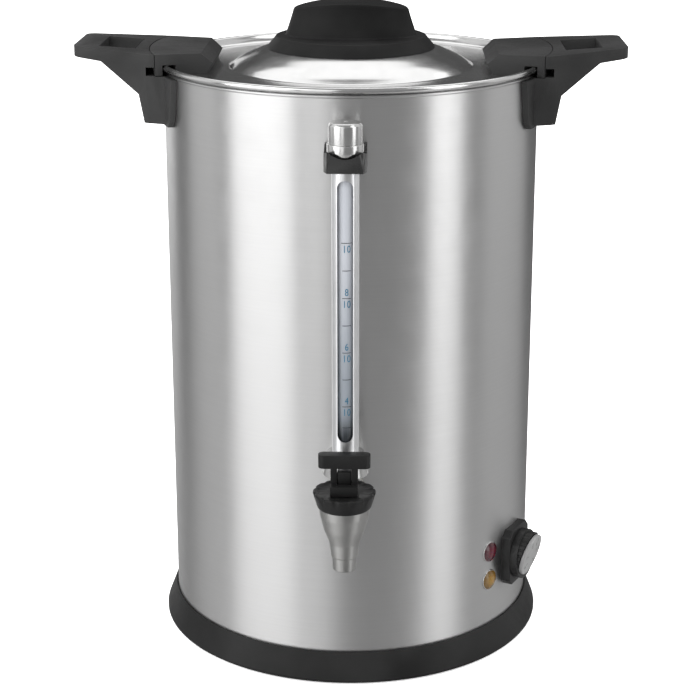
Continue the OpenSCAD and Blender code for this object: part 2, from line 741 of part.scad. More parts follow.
module tap_body() color(bright) difference() {
    union() {
        translate([0, tap_y, 0]) rotate_extrude() polygon([
            [0, spout_z], [8, spout_z], [8.5, spout_z + 9.5], [9.1, spout_z + 10],
            [10.4, spout_z + 19.5], [cup_r - 3.2, spout_z + 29.5],
            [cup_r - 0.65, spout_z + 39.5], [cup_r, brim_z], [neck_r, brim_z],
            [neck_r, brim_z + neck_h], [0, brim_z + neck_h]
        ]);
        out_at(0, shank_z) {
            translate([0, 0, tank_in - 16]) cylinder(r = shank_r, h = body_r + tap_out - tank_in + 4);
            translate([0, 0, body_r + 1.6]) cylinder(r = 14.5, h = 2.6);
        }
        translate([0, gauge_y, shank_z]) cylinder(r = gauge_boss_r, h = gauge_boss_z - shank_z);
    }
    translate([0, tap_y, spout_z - cut]) cylinder(r = outlet_r, h = 60);
    translate([0, tap_y, seat_z]) cylinder(r = chamber_r, h = 60);
    out_at(0, shank_z) translate([0, 0, tank_in - 17]) cylinder(r = shank_bore_r,
        h = body_r + tap_out - tank_in + 17);
    translate([0, gauge_y, shank_z]) cylinder(r = glass_r - glass_t, h = 60);
    translate([0, gauge_y, glass_bottom_z]) cylinder(r = glass_r + 0.05, h = 60);
}

module tap_gaskets() color(silicone) {
    difference() {
        out_at(0, shank_z) translate([0, 0, body_r - 3]) ring(14, shank_r + 0.1, 4.6);
        translate([0, 0, shank_z - 30]) cylinder(r = body_r + 0.02, h = 60);
    }
    intersection() {
        out_at(0, shank_z) translate([0, 0, tank_in - 3]) ring(14, shank_r + 0.1, 8);
        translate([0, 0, shank_z - 30]) cylinder(r = tank_in - 0.02, h = 60);
    }
}

module tap_lock_nut() color(bright) out_at(0, shank_z) translate([0, 0, tank_in - 11])
    difference() {
        cylinder(r = 15, h = 8, $fn = 6);
        translate([0, 0, -cut]) cylinder(r = shank_r + 0.03, h = 10);
    }

module tap_bonnet() color(black) translate([0, tap_y, brim_z]) difference() {
    cylinder(r1 = bonnet_r - 2.9, r2 = bonnet_r, h = bonnet_h);
    translate([0, 0, -cut]) cylinder(r = neck_r + 0.05, h = bonnet_h - bonnet_plate + cut);
    cylinder(r = stem_r + run_gap, h = bonnet_h + cut);
    for (k = [0 : 11]) rotate([0, 0, 30 * k + 15]) translate([bonnet_r + 2.6, 0, -cut])
        cylinder(r = 3.6, h = bonnet_h + 2 * cut, $fn = 32);
}

module valve_spring() color(bright) translate([0, tap_y, 0]) tube([
    for (k = [0 : spring_turns * 12]) [
        spring_mean * cos(30 * k), spring_mean * sin(30 * k),
        spring_low + (spring_high - spring_low) * k / (spring_turns * 12)
    ]
], spring_wire, 1, 6);

module valve_stem() color(bright) translate([0, tap_y, 0]) difference() {
    union() {
        translate([0, 0, seat_z + 2]) cylinder(r = stem_r, h = pin_z - seat_z - 4);
        translate([0, 0, stem_flange_z]) cylinder(r = 9, h = 2);
        translate([-head_w / 2, -3.5, bonnet_top_z + 0.4])
            cube([head_w, 7, pin_z - bonnet_top_z + 8]);
    }
    translate([-10, 0, pin_z]) rotate([0, 90, 0]) cylinder(r = pin_r + run_gap, h = 20);
}

module seat_cup() color(silicone) translate([0, tap_y, seat_z + 0.1]) difference() {
    cylinder(r = 8, h = stem_flange_z - seat_z - 0.1);
    translate([0, 0, 1.9]) cylinder(r = stem_r + 0.02, h = 10);
}

module tap_lever() color(black) translate([0, tap_y, pin_z]) difference() {
    union() {
        for (s = [-1, 1]) translate([s > 0 ? head_w / 2 + cheek_gap : -lever_w / 2, -4, -3])
            cube([lever_w / 2 - head_w / 2 - cheek_gap, 8, 17]);
        translate([-lever_w / 2, -heel_len, -3]) cube([lever_w, 5, 6.7]);
        for (s = [-1, 1]) translate([s > 0 ? head_w / 2 + cheek_gap : -lever_w / 2, -8, -3])
            cube([lever_w / 2 - head_w / 2 - cheek_gap, 5, 6.7]);
        hull() for (s = [-1, 1]) translate([s * (bar_w / 2 - 4.2), 0, 13.6])
            cylinder(r = 4.2, h = 9.2, $fn = 32);
    }
    translate([-15, 0, 0]) rotate([0, 90, 0]) cylinder(r = pin_r + 0.01, h = 30);
}

module lever_pin() color(bright) translate([-lever_w / 2, tap_y, pin_z]) rotate([0, 90, 0])
    cylinder(r = pin_r, h = lever_w);

// ---- Sight gauge ----

module gauge_nut() color(bright) translate([0, gauge_y, 0]) difference() {
    translate([0, 0, nut_bottom_z]) cylinder(r1 = gauge_out - 1, r2 = 12.8,
        h = nut_top_z - nut_bottom_z);
    translate([0, 0, nut_bottom_z - cut]) cylinder(r = gauge_boss_r + 0.03, h = 5 + cut);
    translate([0, 0, shield_bottom_z]) cylinder(r = shield_r + 0.05, h = 30);
}

module sight_glass() color([0.8, 0.9, 0.92, 0.5]) translate([0, gauge_y, glass_bottom_z])
    ring(glass_r, glass_r - glass_t, glass_top_z - glass_bottom_z);

module sight_seals() color(silicone) translate([0, gauge_y, 0]) {
    translate([0, 0, gauge_boss_z]) ring(gauge_boss_r, glass_r + 0.03, 2.5);
    translate([0, 0, shield_top_z - 5]) ring(shield_r - shield_t - 0.1, glass_r + 0.03, 4);
}

module level_scale() color([0.3, 0.5, 0.65]) translate([0, gauge_y, 0]) intersection() {
    translate([0, 0, zero_z + 3.2 * tenth_h])
        ring(glass_r + 0.3, glass_r + 0.05, min(7.4 * tenth_h, window_top_z - 6 - zero_z - 3.2 * tenth_h));
    translate([-3.4, -glass_r - 3, 0]) cube([6.8, glass_r, rim_z]);
}

module sight_shield() color(bright) translate([0, gauge_y, 0]) difference() {
    translate([0, 0, shield_bottom_z]) ring(shield_r, shield_r - shield_t,
        shield_top_z - shield_bottom_z);
    for (z = [window_bottom_z + window_w / 2, window_top_z - window_w / 2])
        translate([0, 0, z]) rotate([90, 0, 0]) cylinder(r = window_w / 2, h = 20);
    translate([-window_w / 2, -20, window_bottom_z + window_w / 2])
        cube([window_w, 20, window_top_z - window_bottom_z - window_w]);
}

module sight_collar() color(bright) translate([0, gauge_y, 0]) rotate_extrude() polygon([
    [shield_r + 0.03, collar_z], [shield_r + 0.8, collar_z], [collar_r, collar_z + 4.6],
    [collar_r, cap_z], [shield_r + 0.03, cap_z]
]);

module sight_cap() color(bright) translate([0, gauge_y, 0]) difference() {
    rotate_extrude() polygon([
        [0, cap_z], [11.4, cap_z], [11.4, cap_z + cap_h - 2], [10.6, cap_z + cap_h - 0.5],
        [9.4, cap_z + cap_h], [0, cap_z + cap_h]
    ]);
    translate([0, 0, cap_z - cut]) cylinder(r = glass_r + 0.05, h = 6 + cut);
    translate([0, 0, cap_z]) cylinder(r = 1.2, h = cap_h + cut);
}

module sight_clamp() color(black) difference() {
    translate([0, 0, clamp_z]) linear_extrude(clamp_h) polygon([
        [-clamp_half_w, -body_r + 4], [-clamp_half_w, gauge_y - 6],
        [-clamp_half_w + 2.25, gauge_y - 11.8], [clamp_half_w - 2.25, gauge_y - 11.8],
        [clamp_half_w, gauge_y - 6], [clamp_half_w, -body_r + 4]
    ]);
    translate([0, 0, clamp_z - cut]) cylinder(r = body_r + hair, h = clamp_h + 2 * cut);
    translate([0, gauge_y, clamp_z - cut]) cylinder(r = shield_r + 0.05, h = 40);
    translate([0, gauge_y, collar_z - 1]) cylinder(r1 = shield_r + 0.4, r2 = 15.2, h = 9.2);
    out_at(0, clamp_z + clamp_h / 2) translate([0, 0, body_r - 5]) cylinder(r = 2, h = 5 + 5.5);
}

module clamp_screw() color(bright) out_at(0, clamp_z + clamp_h / 2)
    translate([0, 0, shell_in - 0.1]) pan_head(1.97, 5.8, 3.8, 2.2);

// ---- Lid ----

module lid_gasket() color(silicone) translate([0, 0, flange_z + tank_t])
    ring(shell_in - tank_t - 0.4, tank_in + 0.3, gasket_h);

module lid_pan() color(steel) {
    z = lid_flat_z;
    s = dome_h / 14.2;                 // the dome's outline is scaled to its height
    difference() {
        rotate_extrude() polygon([
            [0, z + 14.2 * s], [dome_r - 28, z + 14.2 * s], [dome_r - 21, z + 12.6 * s],
            [dome_r - 14, z + 10 * s], [dome_r - 7, z + 6.9 * s], [dome_r - 1, z + 3.4 * s],
            [dome_r + 2, z + 0.8], [dome_r + 5, z], [flat_out_r, z],
            [flat_out_r + 1.3, z + 1.6], [lid_r - 2 * lid_bead_r + 0.2, lid_bead_z],
            [lid_r - lid_bead_r, lid_bead_z + 0.6], [lid_r - lid_bead_r, lid_bead_z - 0.6],
            [lid_r - 2 * lid_bead_r + 1.2, lid_bead_z - 0.9],
            [flat_out_r + 1.7, z + 0.7], [flat_out_r + 0.6, z - lid_t], [dome_r + 4.6, z - lid_t],
            [dome_r + 1, z - 0.1], [dome_r - 2, z + 2.5 * s], [dome_r - 8, z + 6 * s],
            [dome_r - 15, z + 9 * s], [dome_r - 22, z + 11.5 * s],
            [dome_r - 28.5, z + 14.2 * s - lid_t], [0, z + 14.2 * s - lid_t]
        ]);
        for (i = [-1, 1], j = [-1, 1]) translate([i * lug_screw_x, j * lug_screw_y, z - 5])
            cylinder(r = 2 + bolt_gap, h = 10);
        for (i = [-1, 1]) translate([i * knob_screw_x, 0, z]) cylinder(r = 2 + bolt_gap, h = 30);
    }
    translate([0, 0, lid_bead_z]) rotate_extrude()
        translate([lid_r - lid_bead_r, 0]) circle(r = lid_bead_r, $fn = 32);
}

module lid_lug_right() color(black) difference() {
    intersection() {
        translate([0, handle_half_w + 4, 0]) rotate([90, 0, 0])
            linear_extrude(2 * handle_half_w + 8) polygon([
                [seam_r - lug_len + 3.4, lid_flat_z], [seam_r - lug_len, lid_flat_z + 6.6],
                [seam_r - lug_len + 8.2, lug_top_z - 0.1], [seam_r + 2, lug_top_z],
                [seam_r + 2, lug_floor_z], [body_r, lug_floor_z - 4], [body_r - 5, lid_flat_z]
            ]);
        translate([0, 0, lug_floor_z - 8]) linear_extrude(40) polygon([
            [seam_r - lug_len - 1, -lug_nose_half_w], [seam_r - 8.7, -handle_half_w],
            [seam_r + 2, -handle_half_w - 0.3], [seam_r + 2, handle_half_w + 0.3],
            [seam_r - 8.7, handle_half_w], [seam_r - lug_len - 1, lug_nose_half_w]
        ]);
        translate([0, 0, lug_floor_z]) cylinder(r = seam_r - seam_gap, h = 40);
    }
    difference() {
        translate([0, 0, lug_floor_z - 2]) cylinder(r = lid_r + 0.3,
            h = lid_bead_z + lid_bead_r + 0.2 - lug_floor_z + 2);
        translate([0, 0, lid_flat_z]) cylinder(r = flat_out_r - 1.5, h = 30);
    }
    for (t = [-1, 1]) translate([lug_screw_x, t * lug_screw_y, lid_flat_z - 1])
        cylinder(r = 2, h = 1 + 8.5);
}

module lid_lug_left() color(black) mirror([1, 0, 0]) lid_lug_right();

module lug_screws() color(bright)
    for (s = [-1, 1], t = [-1, 1]) translate([s * lug_screw_x, t * lug_screw_y, lid_flat_z - lid_t])
        pan_head(1.97, 9, 3.8, 2);

module oval(a, b, h) linear_extrude(h) polygon([
    for (k = [0 : 47]) [a * cos(7.5 * k), b * sin(7.5 * k)]
]);

module lid_knob() color(black) difference() {
    union() {
        translate([0, 0, knob_foot_z]) cylinder(r1 = knob_r, r2 = knob_ledge_r, h = knob_flare_h);
        intersection() {
            hull() {
                translate([0, 0, ledge_z - 0.5]) oval(grip_a, grip_b, 0.5);
                translate([0, 0, ledge_z + grip_h])
                    oval(grip_a - grip_draft * 1.2, grip_b - grip_draft * 1.2, 0.5);
            }
            translate([0, 60, ledge_z + grip_h - crown_r]) rotate([90, 0, 0])
                cylinder(r = crown_r, h = 120);
        }
    }
    // the lid's dome under the flare
    rotate_extrude() polygon([
        [0, dome_z - 5], [dome_r - 18, dome_z - 5], [dome_r - 18, dome_z - 2.3],
        [dome_r - 21, dome_z - 1.55], [dome_r - 28, dome_z + 0.05], [0, dome_z + 0.05]
    ]);
    // hollow inside, round two screw bosses
    difference() {
        translate([0, 0, dome_z - 1])
            oval(grip_a - 5, grip_b - 5, ledge_z + grip_h - dome_z - 7);
        for (s = [-1, 1]) translate([s * knob_screw_x, 0, dome_z - 2]) cylinder(r = 5, h = 60);
    }
    for (s = [-1, 1]) translate([s * knob_screw_x, 0, dome_z - 2]) cylinder(r = 2, h = 14);
}

module knob_screws() color(bright)
    for (s = [-1, 1]) translate([s * knob_screw_x, 0, dome_z - lid_t])
        pan_head(1.97, 12, 3.8, 2);

// ---- Brewer ----

module pump_tube() color(steel) rotate_extrude() polygon([
    [pump_r, pump_top_z], [pump_r - pump_t, pump_top_z], [pump_r - pump_t, pump_foot_z + 17],
    [20, pump_foot_z + 3], [20, pump_foot_z], [21, pump_foot_z], [21, pump_foot_z + 3.6],
    [pump_r, pump_foot_z + 18], [pump_r, basket_bottom_z - 4],
    [pump_r + 4, basket_bottom_z], [pump_r, basket_bottom_z]
]);

module coffee_basket() color(steel) {
    difference() {
        translate([0, 0, basket_bottom_z]) cylinder(r = basket_r, h = basket_h);
        translate([0, 0, basket_bottom_z + basket_t])
            cylinder(r = basket_r - basket_t, h = basket_h);
        translate([0, 0, basket_bottom_z - cut]) cylinder(r = pump_r + 0.3, h = 10);
        for (ring_no = [1 : 4], k = [0 : 6 * ring_no - 1])
            rotate([0, 0, 60 * k / ring_no + 13 * ring_no])
                translate([ring_no * (basket_r - 12) / 4, 0, basket_bottom_z - cut])
                    cylinder(r = 1.5, h = 10, $fn = 16);
    }
    translate([0, 0, basket_bottom_z]) ring(pump_r + 0.3 + basket_t, pump_r + 0.3, basket_h);
}

module basket_cover() color(steel) translate([0, 0, basket_top_z]) difference() {
    union() {
        cylinder(r = basket_r + 2, h = basket_t);
        translate([0, 0, -4]) ring(basket_r - basket_t - 0.3, basket_r - 2 * basket_t - 0.3, 4.1);
        ring(basket_r + 2, basket_r + 1, 4);
    }
    translate([0, 0, -cut]) cylinder(r = pump_r + 0.3, h = 10);
    for (ring_no = [1 : 3], k = [0 : 8 * ring_no - 1])
        rotate([0, 0, 45 * k / ring_no + 17 * ring_no])
            translate([ring_no * (basket_r - 14) / 3, 0, -cut])
                cylinder(r = 1.5, h = 10, $fn = 16);
}

base_ring();
bottom_cover();
rubber_feet();
foot_screws();
tie_rods();
tie_nuts();
outer_shell();
inner_tank();
heater_plate();
heating_element();
keep_warm_element();
thermal_cutout();
thermostat();
capillary();
terminal_block();
wiring();
handle_left();
handle_right();
handle_screws();
power_inlet();
inlet_pins();
inlet_screws();
lamp_bezels();
lamp_lens_red();
lamp_lens_amber();
lamp_bodies();
dial_plate();
plate_screws();
tap_body();
tap_gaskets();
tap_lock_nut();
tap_bonnet();
valve_spring();
gauge_nut();
sight_glass();
sight_seals();
level_scale();
sight_shield();
sight_collar();
sight_cap();
sight_clamp();
clamp_screw();
lid_gasket();
lid_pan();
lid_lug_left();
lid_lug_right();
lug_screws();
lid_knob();
knob_screws();
pump_tube();
coffee_basket();
basket_cover();
valve_stem();
seat_cup();
tap_lever();
lever_pin();
dial_knob();
dial_face();
dial_spindle();
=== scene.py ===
import json
import math
import bmesh
import bpy
from mathutils import Matrix, Vector


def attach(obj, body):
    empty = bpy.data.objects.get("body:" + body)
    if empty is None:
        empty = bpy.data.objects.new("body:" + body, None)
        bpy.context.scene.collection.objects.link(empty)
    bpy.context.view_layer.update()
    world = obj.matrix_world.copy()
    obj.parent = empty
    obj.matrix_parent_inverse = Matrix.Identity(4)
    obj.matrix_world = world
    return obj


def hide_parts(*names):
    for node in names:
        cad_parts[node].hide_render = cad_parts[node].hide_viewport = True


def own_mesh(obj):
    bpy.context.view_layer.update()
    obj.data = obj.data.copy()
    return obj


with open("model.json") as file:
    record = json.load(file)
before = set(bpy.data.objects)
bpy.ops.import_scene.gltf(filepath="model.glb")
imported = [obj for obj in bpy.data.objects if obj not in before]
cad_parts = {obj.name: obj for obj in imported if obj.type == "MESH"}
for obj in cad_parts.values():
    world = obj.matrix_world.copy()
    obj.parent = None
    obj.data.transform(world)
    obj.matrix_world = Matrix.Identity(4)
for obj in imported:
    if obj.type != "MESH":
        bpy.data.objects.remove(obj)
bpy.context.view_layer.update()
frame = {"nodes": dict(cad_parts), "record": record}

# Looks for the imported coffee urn. Angles are in degrees, the studio's and the finishes' lengths
# in metres, and the pieces' lengths in millimetres.
nodes = frame["nodes"]
print("frame loaded with", len(nodes), "nodes")


def addObject(name, data):
    obj = bpy.data.objects.new(name, data)
    bpy.context.scene.collection.objects.link(obj)
    return obj


# camera
cameraSetup = {
    "azimuth": 1.4,      # round the urn, from the front
    "distance": 1.2988,  # level distance from the urn's axis
    "height": 0.6244,
    "pitch": 16.55,      # looking down
    "yaw": 0.034,
    "lens": 92.54,
    "shiftUp": -0.06,
}


def makeCamera(c):
    data = bpy.data.cameras.new("camera")
    data.sensor_width = 36
    data.lens = c["lens"]
    data.shift_y = c["shiftUp"]
    data.clip_start, data.clip_end = 0.05, 50
    obj = addObject("camera", data)
    az = math.radians(c["azimuth"])
    obj.location = (c["distance"] * math.sin(az), -c["distance"] * math.cos(az), c["height"])
    obj.rotation_euler = (math.radians(90 - c["pitch"]), 0, az + math.radians(c["yaw"]))
    bpy.context.scene.camera = obj


makeCamera(cameraSetup)
print("camera placed")


# node trees, written as expressions
class Socket:
    # an output socket that can be added, multiplied and so on
    def __init__(self, book, pin):
        self.book, self.pin = book, pin

    def maths(self, operation, other, swap=False):
        pair = [other, self] if swap else [self, other]
        return self.book.node("ShaderNodeMath", {"operation": operation}, dict(enumerate(pair)))

    def __add__(self, other): return self.maths("ADD", other)
    def __radd__(self, other): return self.maths("ADD", other)
    def __sub__(self, other): return self.maths("SUBTRACT", other)
    def __rsub__(self, other): return self.maths("SUBTRACT", other, True)
    def __mul__(self, other): return self.maths("MULTIPLY", other)
    def __rmul__(self, other): return self.maths("MULTIPLY", other)


class Book:
    # one material's or world's node tree
    def __init__(self, owner):
        owner.use_nodes = True
        self.tree = owner.node_tree
        self.tree.nodes.clear()

    def node(self, kind, settings=None, sockets=None, out=0):
        made = self.tree.nodes.new(kind)
        for key, value in (settings or {}).items():
            setattr(made, key, value)
        for key, value in (sockets or {}).items():
            pin = made.inputs[key]
            if isinstance(value, Socket):
                self.tree.links.new(value.pin, pin)
            else:
                pin.default_value = value
        return Socket(self, made.outputs[out]) if made.outputs else made

    def mix(self, mask, a, b):
        # colour a where the mask is 0 and b where it is 1
        a, b = [v if isinstance(v, Socket) else tint(v) for v in (a, b)]
        return self.node("ShaderNodeMix", {"data_type": "RGBA"}, {0: mask, 6: a, 7: b}, out=2)

    def smooth(self, value, low, high):
        # mask that goes smoothly from 0 at low to 1 at high
        return self.node("ShaderNodeMapRange", {"interpolation_type": "SMOOTHSTEP"},
                         {"Value": value, "From Min": low, "From Max": high})

    def where(self):
        # a point's own place on the urn, in metres
        return self.node("ShaderNodeTexCoord", out=3)

    def parts(self, vector):
        made = self.node("ShaderNodeSeparateXYZ", sockets={0: vector}).pin.node
        return [Socket(self, pin) for pin in made.outputs]

    def vector(self, x, y, z):
        return self.node("ShaderNodeCombineXYZ", sockets={0: x, 1: y, 2: z})

    def noise(self, at, scale, detail=2.0, rough=0.5):
        return self.node("ShaderNodeTexNoise", sockets={"Vector": at, "Scale": scale,
                                                        "Detail": detail, "Roughness": rough})

    def bump(self, height, distance, strength):
        return self.node("ShaderNodeBump", sockets={"Height": height, "Distance": distance,
                                                    "Strength": strength})

    def finish(self, shader, kind="ShaderNodeOutputMaterial"):
        self.node(kind, sockets={"Surface": shader})


def tint(c):
    # a grey or a colour, as a socket takes it
    return (c, c, c, 1) if isinstance(c, (int, float)) else tuple(c) + (1,)


def shade(colour, gain, lift=0.0):
    # the colour made lighter or darker
    return tuple(v * gain + lift for v in colour)


def newFinish(name):
    # an empty material and its book
    owner = bpy.data.materials.new(name)
    return owner, Book(owner)


def surface(book, **sockets):
    # main shader, with an underscore for each blank in a socket's name
    return book.node("ShaderNodeBsdfPrincipled",
                     sockets={key.replace("_", " "): value for key, value in sockets.items()})


# studio: a grey room with soft boxes round the urn, and a white floor
studio = {
    "world": 0.58,                # grey that lights the urn from all round
    "overhead": 0.95,             # the same from overhead
    "overheadFrom": (0.0, 0.7),   # upward part of a direction where it starts and where it is full
    "roomInMetal": 0.34,          # the room as metal shows it
    "backInMetal": 0.09,          # its darker part, low down behind the urn
    "backFrom": (0.35, 0.8),      # backward part of a direction
    "backUnder": (0.75, 0.4),     # upward part of a direction
    "floorWhite": 0.52,           # the floor's own white, to which its light and shadow are added
    "floorFar": 0.8,              # the same, well away from the urn
    "farFrom": (0.5, 1.6),        # distance from the urn
    "floorShade": 1.3,            # how much of its light and shadow shows
    "floorBounce": 0.8,           # its colour where it lights the urn from below
    "floorInMetal": (0.62, 0.42),   # its colour and roughness as metal shows it
    "floorReach": 9,
    "aim": 0.24,                  # height that the boxes face
    # azimuth, elevation, distance, width, height, brightness
    "boxes": {
        "keyBox": (-54, 18, 1.7, 1.35, 2.2, 1.85),
        "nearBox": (-19, 18, 1.7, 0.55, 2.2, 1.0),
        "sideBox": (-98, 18, 1.7, 0.9, 2.2, 0.5),
        "stripBox": (57, 22, 1.7, 0.68, 2.2, 1.8),
        "rightFill": (108, 18, 1.7, 1.5, 2.2, 0.4),
        "leftFill": (-150, 0, 1.7, 1.0, 1.2, 0.8),
        "topBox": (180, 68, 1.5, 2.0, 1.0, 1.15),
    },
}


def rays(book):
    # masks: what the camera sees, also through glass, and what metal shows
    pins = book.node("ShaderNodeLightPath").pin.node.outputs
    through = Socket(book, pins["Is Transmission Ray"])
    return (Socket(book, pins["Is Camera Ray"]).maths("MAXIMUM", through),
            Socket(book, pins["Is Glossy Ray"]))


def makeRoom(s):
    world = bpy.data.worlds.new("studio")
    bpy.context.scene.world = world
    book = Book(world)
    seen, inMetal = rays(book)
    back, up = book.parts(book.node("ShaderNodeTexCoord"))[1:]
    grey = book.mix(book.smooth(up, *s["overheadFrom"]), s["world"], s["overhead"])
    lowBack = book.smooth(back, *s["backFrom"]) * book.smooth(up, *s["backUnder"])
    shown = book.mix(lowBack, s["roomInMetal"], s["backInMetal"])
    soft = book.node("ShaderNodeBackground", sockets={"Color": grey})
    metal = book.node("ShaderNodeBackground", sockets={"Color": shown})
    white = book.node("ShaderNodeBackground", sockets={"Color": tint(1.0)})
    unseen = book.node("ShaderNodeMixShader", sockets={0: inMetal, 1: soft, 2: metal})
    book.finish(book.node("ShaderNodeMixShader", sockets={0: seen, 1: unseen, 2: white}),
                "ShaderNodeOutputWorld")


def makeBoxes(s):
    aim = Vector((0, 0, s["aim"]))
    for name, (az, up, away, width, height, level) in s["boxes"].items():
        data = bpy.data.lights.new(name, "AREA")
        data.shape, data.size, data.size_y = "RECTANGLE", width, height
        data.energy = level * math.pi * width * height
        obj = addObject(name, data)
        a, e = math.radians(az + cameraSetup["azimuth"]), math.radians(up)
        out = Vector((math.sin(a) * math.cos(e), -math.cos(a) * math.cos(e), math.sin(e)))
        obj.location = aim + out * away
        obj.rotation_mode = "QUATERNION"
        obj.rotation_quaternion = (-out).to_track_quat("-Z", "Y")


def makeFloor(s):
    reach = s["floorReach"]
    ground = bpy.data.meshes.new("floor")
    ground.from_pydata([(-reach, -reach, 0), (reach, -reach, 0), (reach, reach, 0),
                        (-reach, reach, 0)], [], [(0, 1, 2, 3)])
    floor = addObject("floor", ground)
    owner, book = newFinish("paleFloor")
    seen, inMetal = rays(book)
    away = book.node("ShaderNodeVectorMath", {"operation": "LENGTH"}, {0: book.where()}, out=1)
    white = book.mix(book.smooth(away, *s["farFrom"]), s["floorWhite"], s["floorFar"])
    lit = book.node("ShaderNodeBsdfDiffuse", sockets={"Color": tint(s["floorShade"])})
    glow = book.node("ShaderNodeEmission", sockets={"Color": white})
    seenFloor = book.node("ShaderNodeAddShader", sockets={0: lit, 1: glow})
    bounce = book.node("ShaderNodeBsdfDiffuse", sockets={"Color": tint(s["floorBounce"])})
    colour, rough = s["floorInMetal"]
    shine = book.node("ShaderNodeBsdfAnisotropic", sockets={
        "Color": tint(colour), "Roughness": rough})
    unseen = book.node("ShaderNodeMixShader", sockets={0: inMetal, 1: bounce, 2: shine})
    book.finish(book.node("ShaderNodeMixShader", sockets={0: seen, 1: unseen, 2: seenFloor}))
    ground.materials.append(owner)


makeRoom(studio)
makeBoxes(studio)
makeFloor(studio)
bpy.context.scene.view_settings.view_transform = "Standard"
print("studio lit")

# plastics: grain is the size of the speckle and depth its height, in metres; shine is the gloss
plastics = {
    "handlePlastic": {"colour": 0.027, "rough": 0.42, "shine": 0.17, "grain": 0.00045,
                      "depth": 0.00004},
    "knobPlastic": {"colour": 0.0105, "rough": 0.46, "shine": 0.09, "grain": 0.0004,
                    "depth": 0.00003},
    "basePlastic": {"colour": 0.009, "rough": 0.4, "shine": 0.22, "grain": 0.0005,
                    "depth": 0.00003},
    "tapPlastic": {"colour": 0.009, "rough": 0.36, "shine": 0.22, "grain": 0.0003,
                   "depth": 0.000015},
    "clampPlastic": {"colour": 0.02, "rough": 0.27, "shine": 0.5, "grain": 0.0003,
                     "depth": 0.000008},
    "dialPlastic": {"colour": 0.009, "rough": 0.34, "shine": 0.3, "grain": 0.0003,
                    "depth": 0.000015},
    "innerPlastic": {"colour": 0.06, "rough": 0.5, "shine": 0.5, "grain": 0.0004,
                     "depth": 0.00002},
    "facePlastic": {"colour": 0.25, "rough": 0.4, "shine": 0.5, "grain": 0.0005,
                    "depth": 0.00002},
    "terminalPlastic": {"colour": (0.66, 0.62, 0.5), "rough": 0.5, "shine": 0.5,
                        "grain": 0.0006, "depth": 0.00002},
    "wireSheath": {"colour": (0.35, 0.18, 0.1), "rough": 0.45, "shine": 0.5, "grain": 0.001,
                   "depth": 0.00001},
    "footRubber": {"colour": 0.03, "rough": 0.8, "shine": 0.5, "grain": 0.0006,
                   "depth": 0.00005},
    "silicone": {"colour": (0.62, 0.6, 0.55), "rough": 0.55, "shine": 0.5, "grain": 0.001,
                 "depth": 0.00002},
}
plasticWear = {
    "drift": 14, "smudge": 55,     # how many to a metre
    "darker": 0.86, "lighter": (1.3, 0.006), "rubbed": 1.6, "rubbing": 0.3,
    "rough": (-0.05, 0.1, 0.06),   # start, and what smudges and speckle add
    "strength": 0.6,
}


def makePlastic(name, p, wear=plasticWear):
    # moulded plastic: fine speckle, slow drift in gloss and colour, rubbed high spots
    owner, book = newFinish(name)
    at = book.where()
    speckle = book.noise(at, 1 / p["grain"], 3.0, 0.6)
    drift = book.noise(at, wear["drift"], 3.0)
    smudge = book.noise(at, wear["smudge"], 4.0, 0.65)
    colour = tint(p["colour"])[:3]
    darker, lighter = shade(colour, wear["darker"]), shade(colour, *wear["lighter"])
    base = book.mix(book.smooth(drift, 0.35, 0.65), darker, lighter)
    base = book.mix(book.smooth(speckle, 0.5, 0.8) * wear["rubbing"], base,
                    shade(colour, wear["rubbed"]))
    start, smudged, speckled = wear["rough"]
    rough = (p["rough"] + start + smudged * book.smooth(smudge, 0.3, 0.7)
             + speckled * book.smooth(speckle, 0.3, 0.7))
    book.finish(surface(book, Base_Color=base, Roughness=rough, IOR=1.49,
                        Specular_IOR_Level=p["shine"],
                        Normal=book.bump(speckle, p["depth"], wear["strength"])))
    return owner


steels = {
    # grain is how far the brushing stretches a reflection, turn its direction, lines how many
    # brush lines there are to a metre of height, streak how much the colour drifts
    "shellSteel": {"colour": (0.615, 0.614, 0.613), "rough": 0.34, "grain": 0.78, "turn": 0.25,
                   "lines": 5200, "depth": 0.000002, "streak": 0.015},
    "lidSteel": {"colour": (0.655, 0.654, 0.652), "rough": 0.16, "grain": 0.2, "turn": 0.25,
                 "lines": 0, "depth": 0.000006, "streak": 0.05},
    "tapSteel": {"colour": (0.41, 0.408, 0.4), "rough": 0.3, "grain": 0.35, "turn": 0.25,
                 "lines": 0, "depth": 0.000008, "streak": 0.06},
    "tankSteel": {"colour": (0.6, 0.6, 0.59), "rough": 0.3, "grain": 0.5, "turn": 0.25,
                  "lines": 1500, "depth": 0.00001, "streak": 0.08},
    "capChrome": {"colour": (0.66, 0.66, 0.655), "rough": 0.2, "grain": 0.0, "turn": 0.0,
                  "lines": 0, "depth": 0.000003, "streak": 0.03},
    "shieldChrome": {"colour": (0.86, 0.865, 0.875), "rough": 0.34, "grain": 0.5, "turn": 0.25,
                     "lines": 0, "depth": 0.000004, "streak": 0.04},
    "zincSteel": {"colour": (0.56, 0.57, 0.57), "rough": 0.33, "grain": 0.0, "turn": 0.0,
                  "lines": 0, "depth": 0.00001, "streak": 0.12},
    "castAluminium": {"colour": (0.6, 0.61, 0.62), "rough": 0.45, "grain": 0.0, "turn": 0.0,
                      "lines": 0, "depth": 0.00004, "streak": 0.1},
    "brass": {"colour": (0.66, 0.48, 0.2), "rough": 0.28, "grain": 0.0, "turn": 0.0,
              "lines": 0, "depth": 0.000008, "streak": 0.08},
    "copper": {"colour": (0.62, 0.3, 0.18), "rough": 0.3, "grain": 0.0, "turn": 0.0,
               "lines": 0, "depth": 0.000008, "streak": 0.1},
}
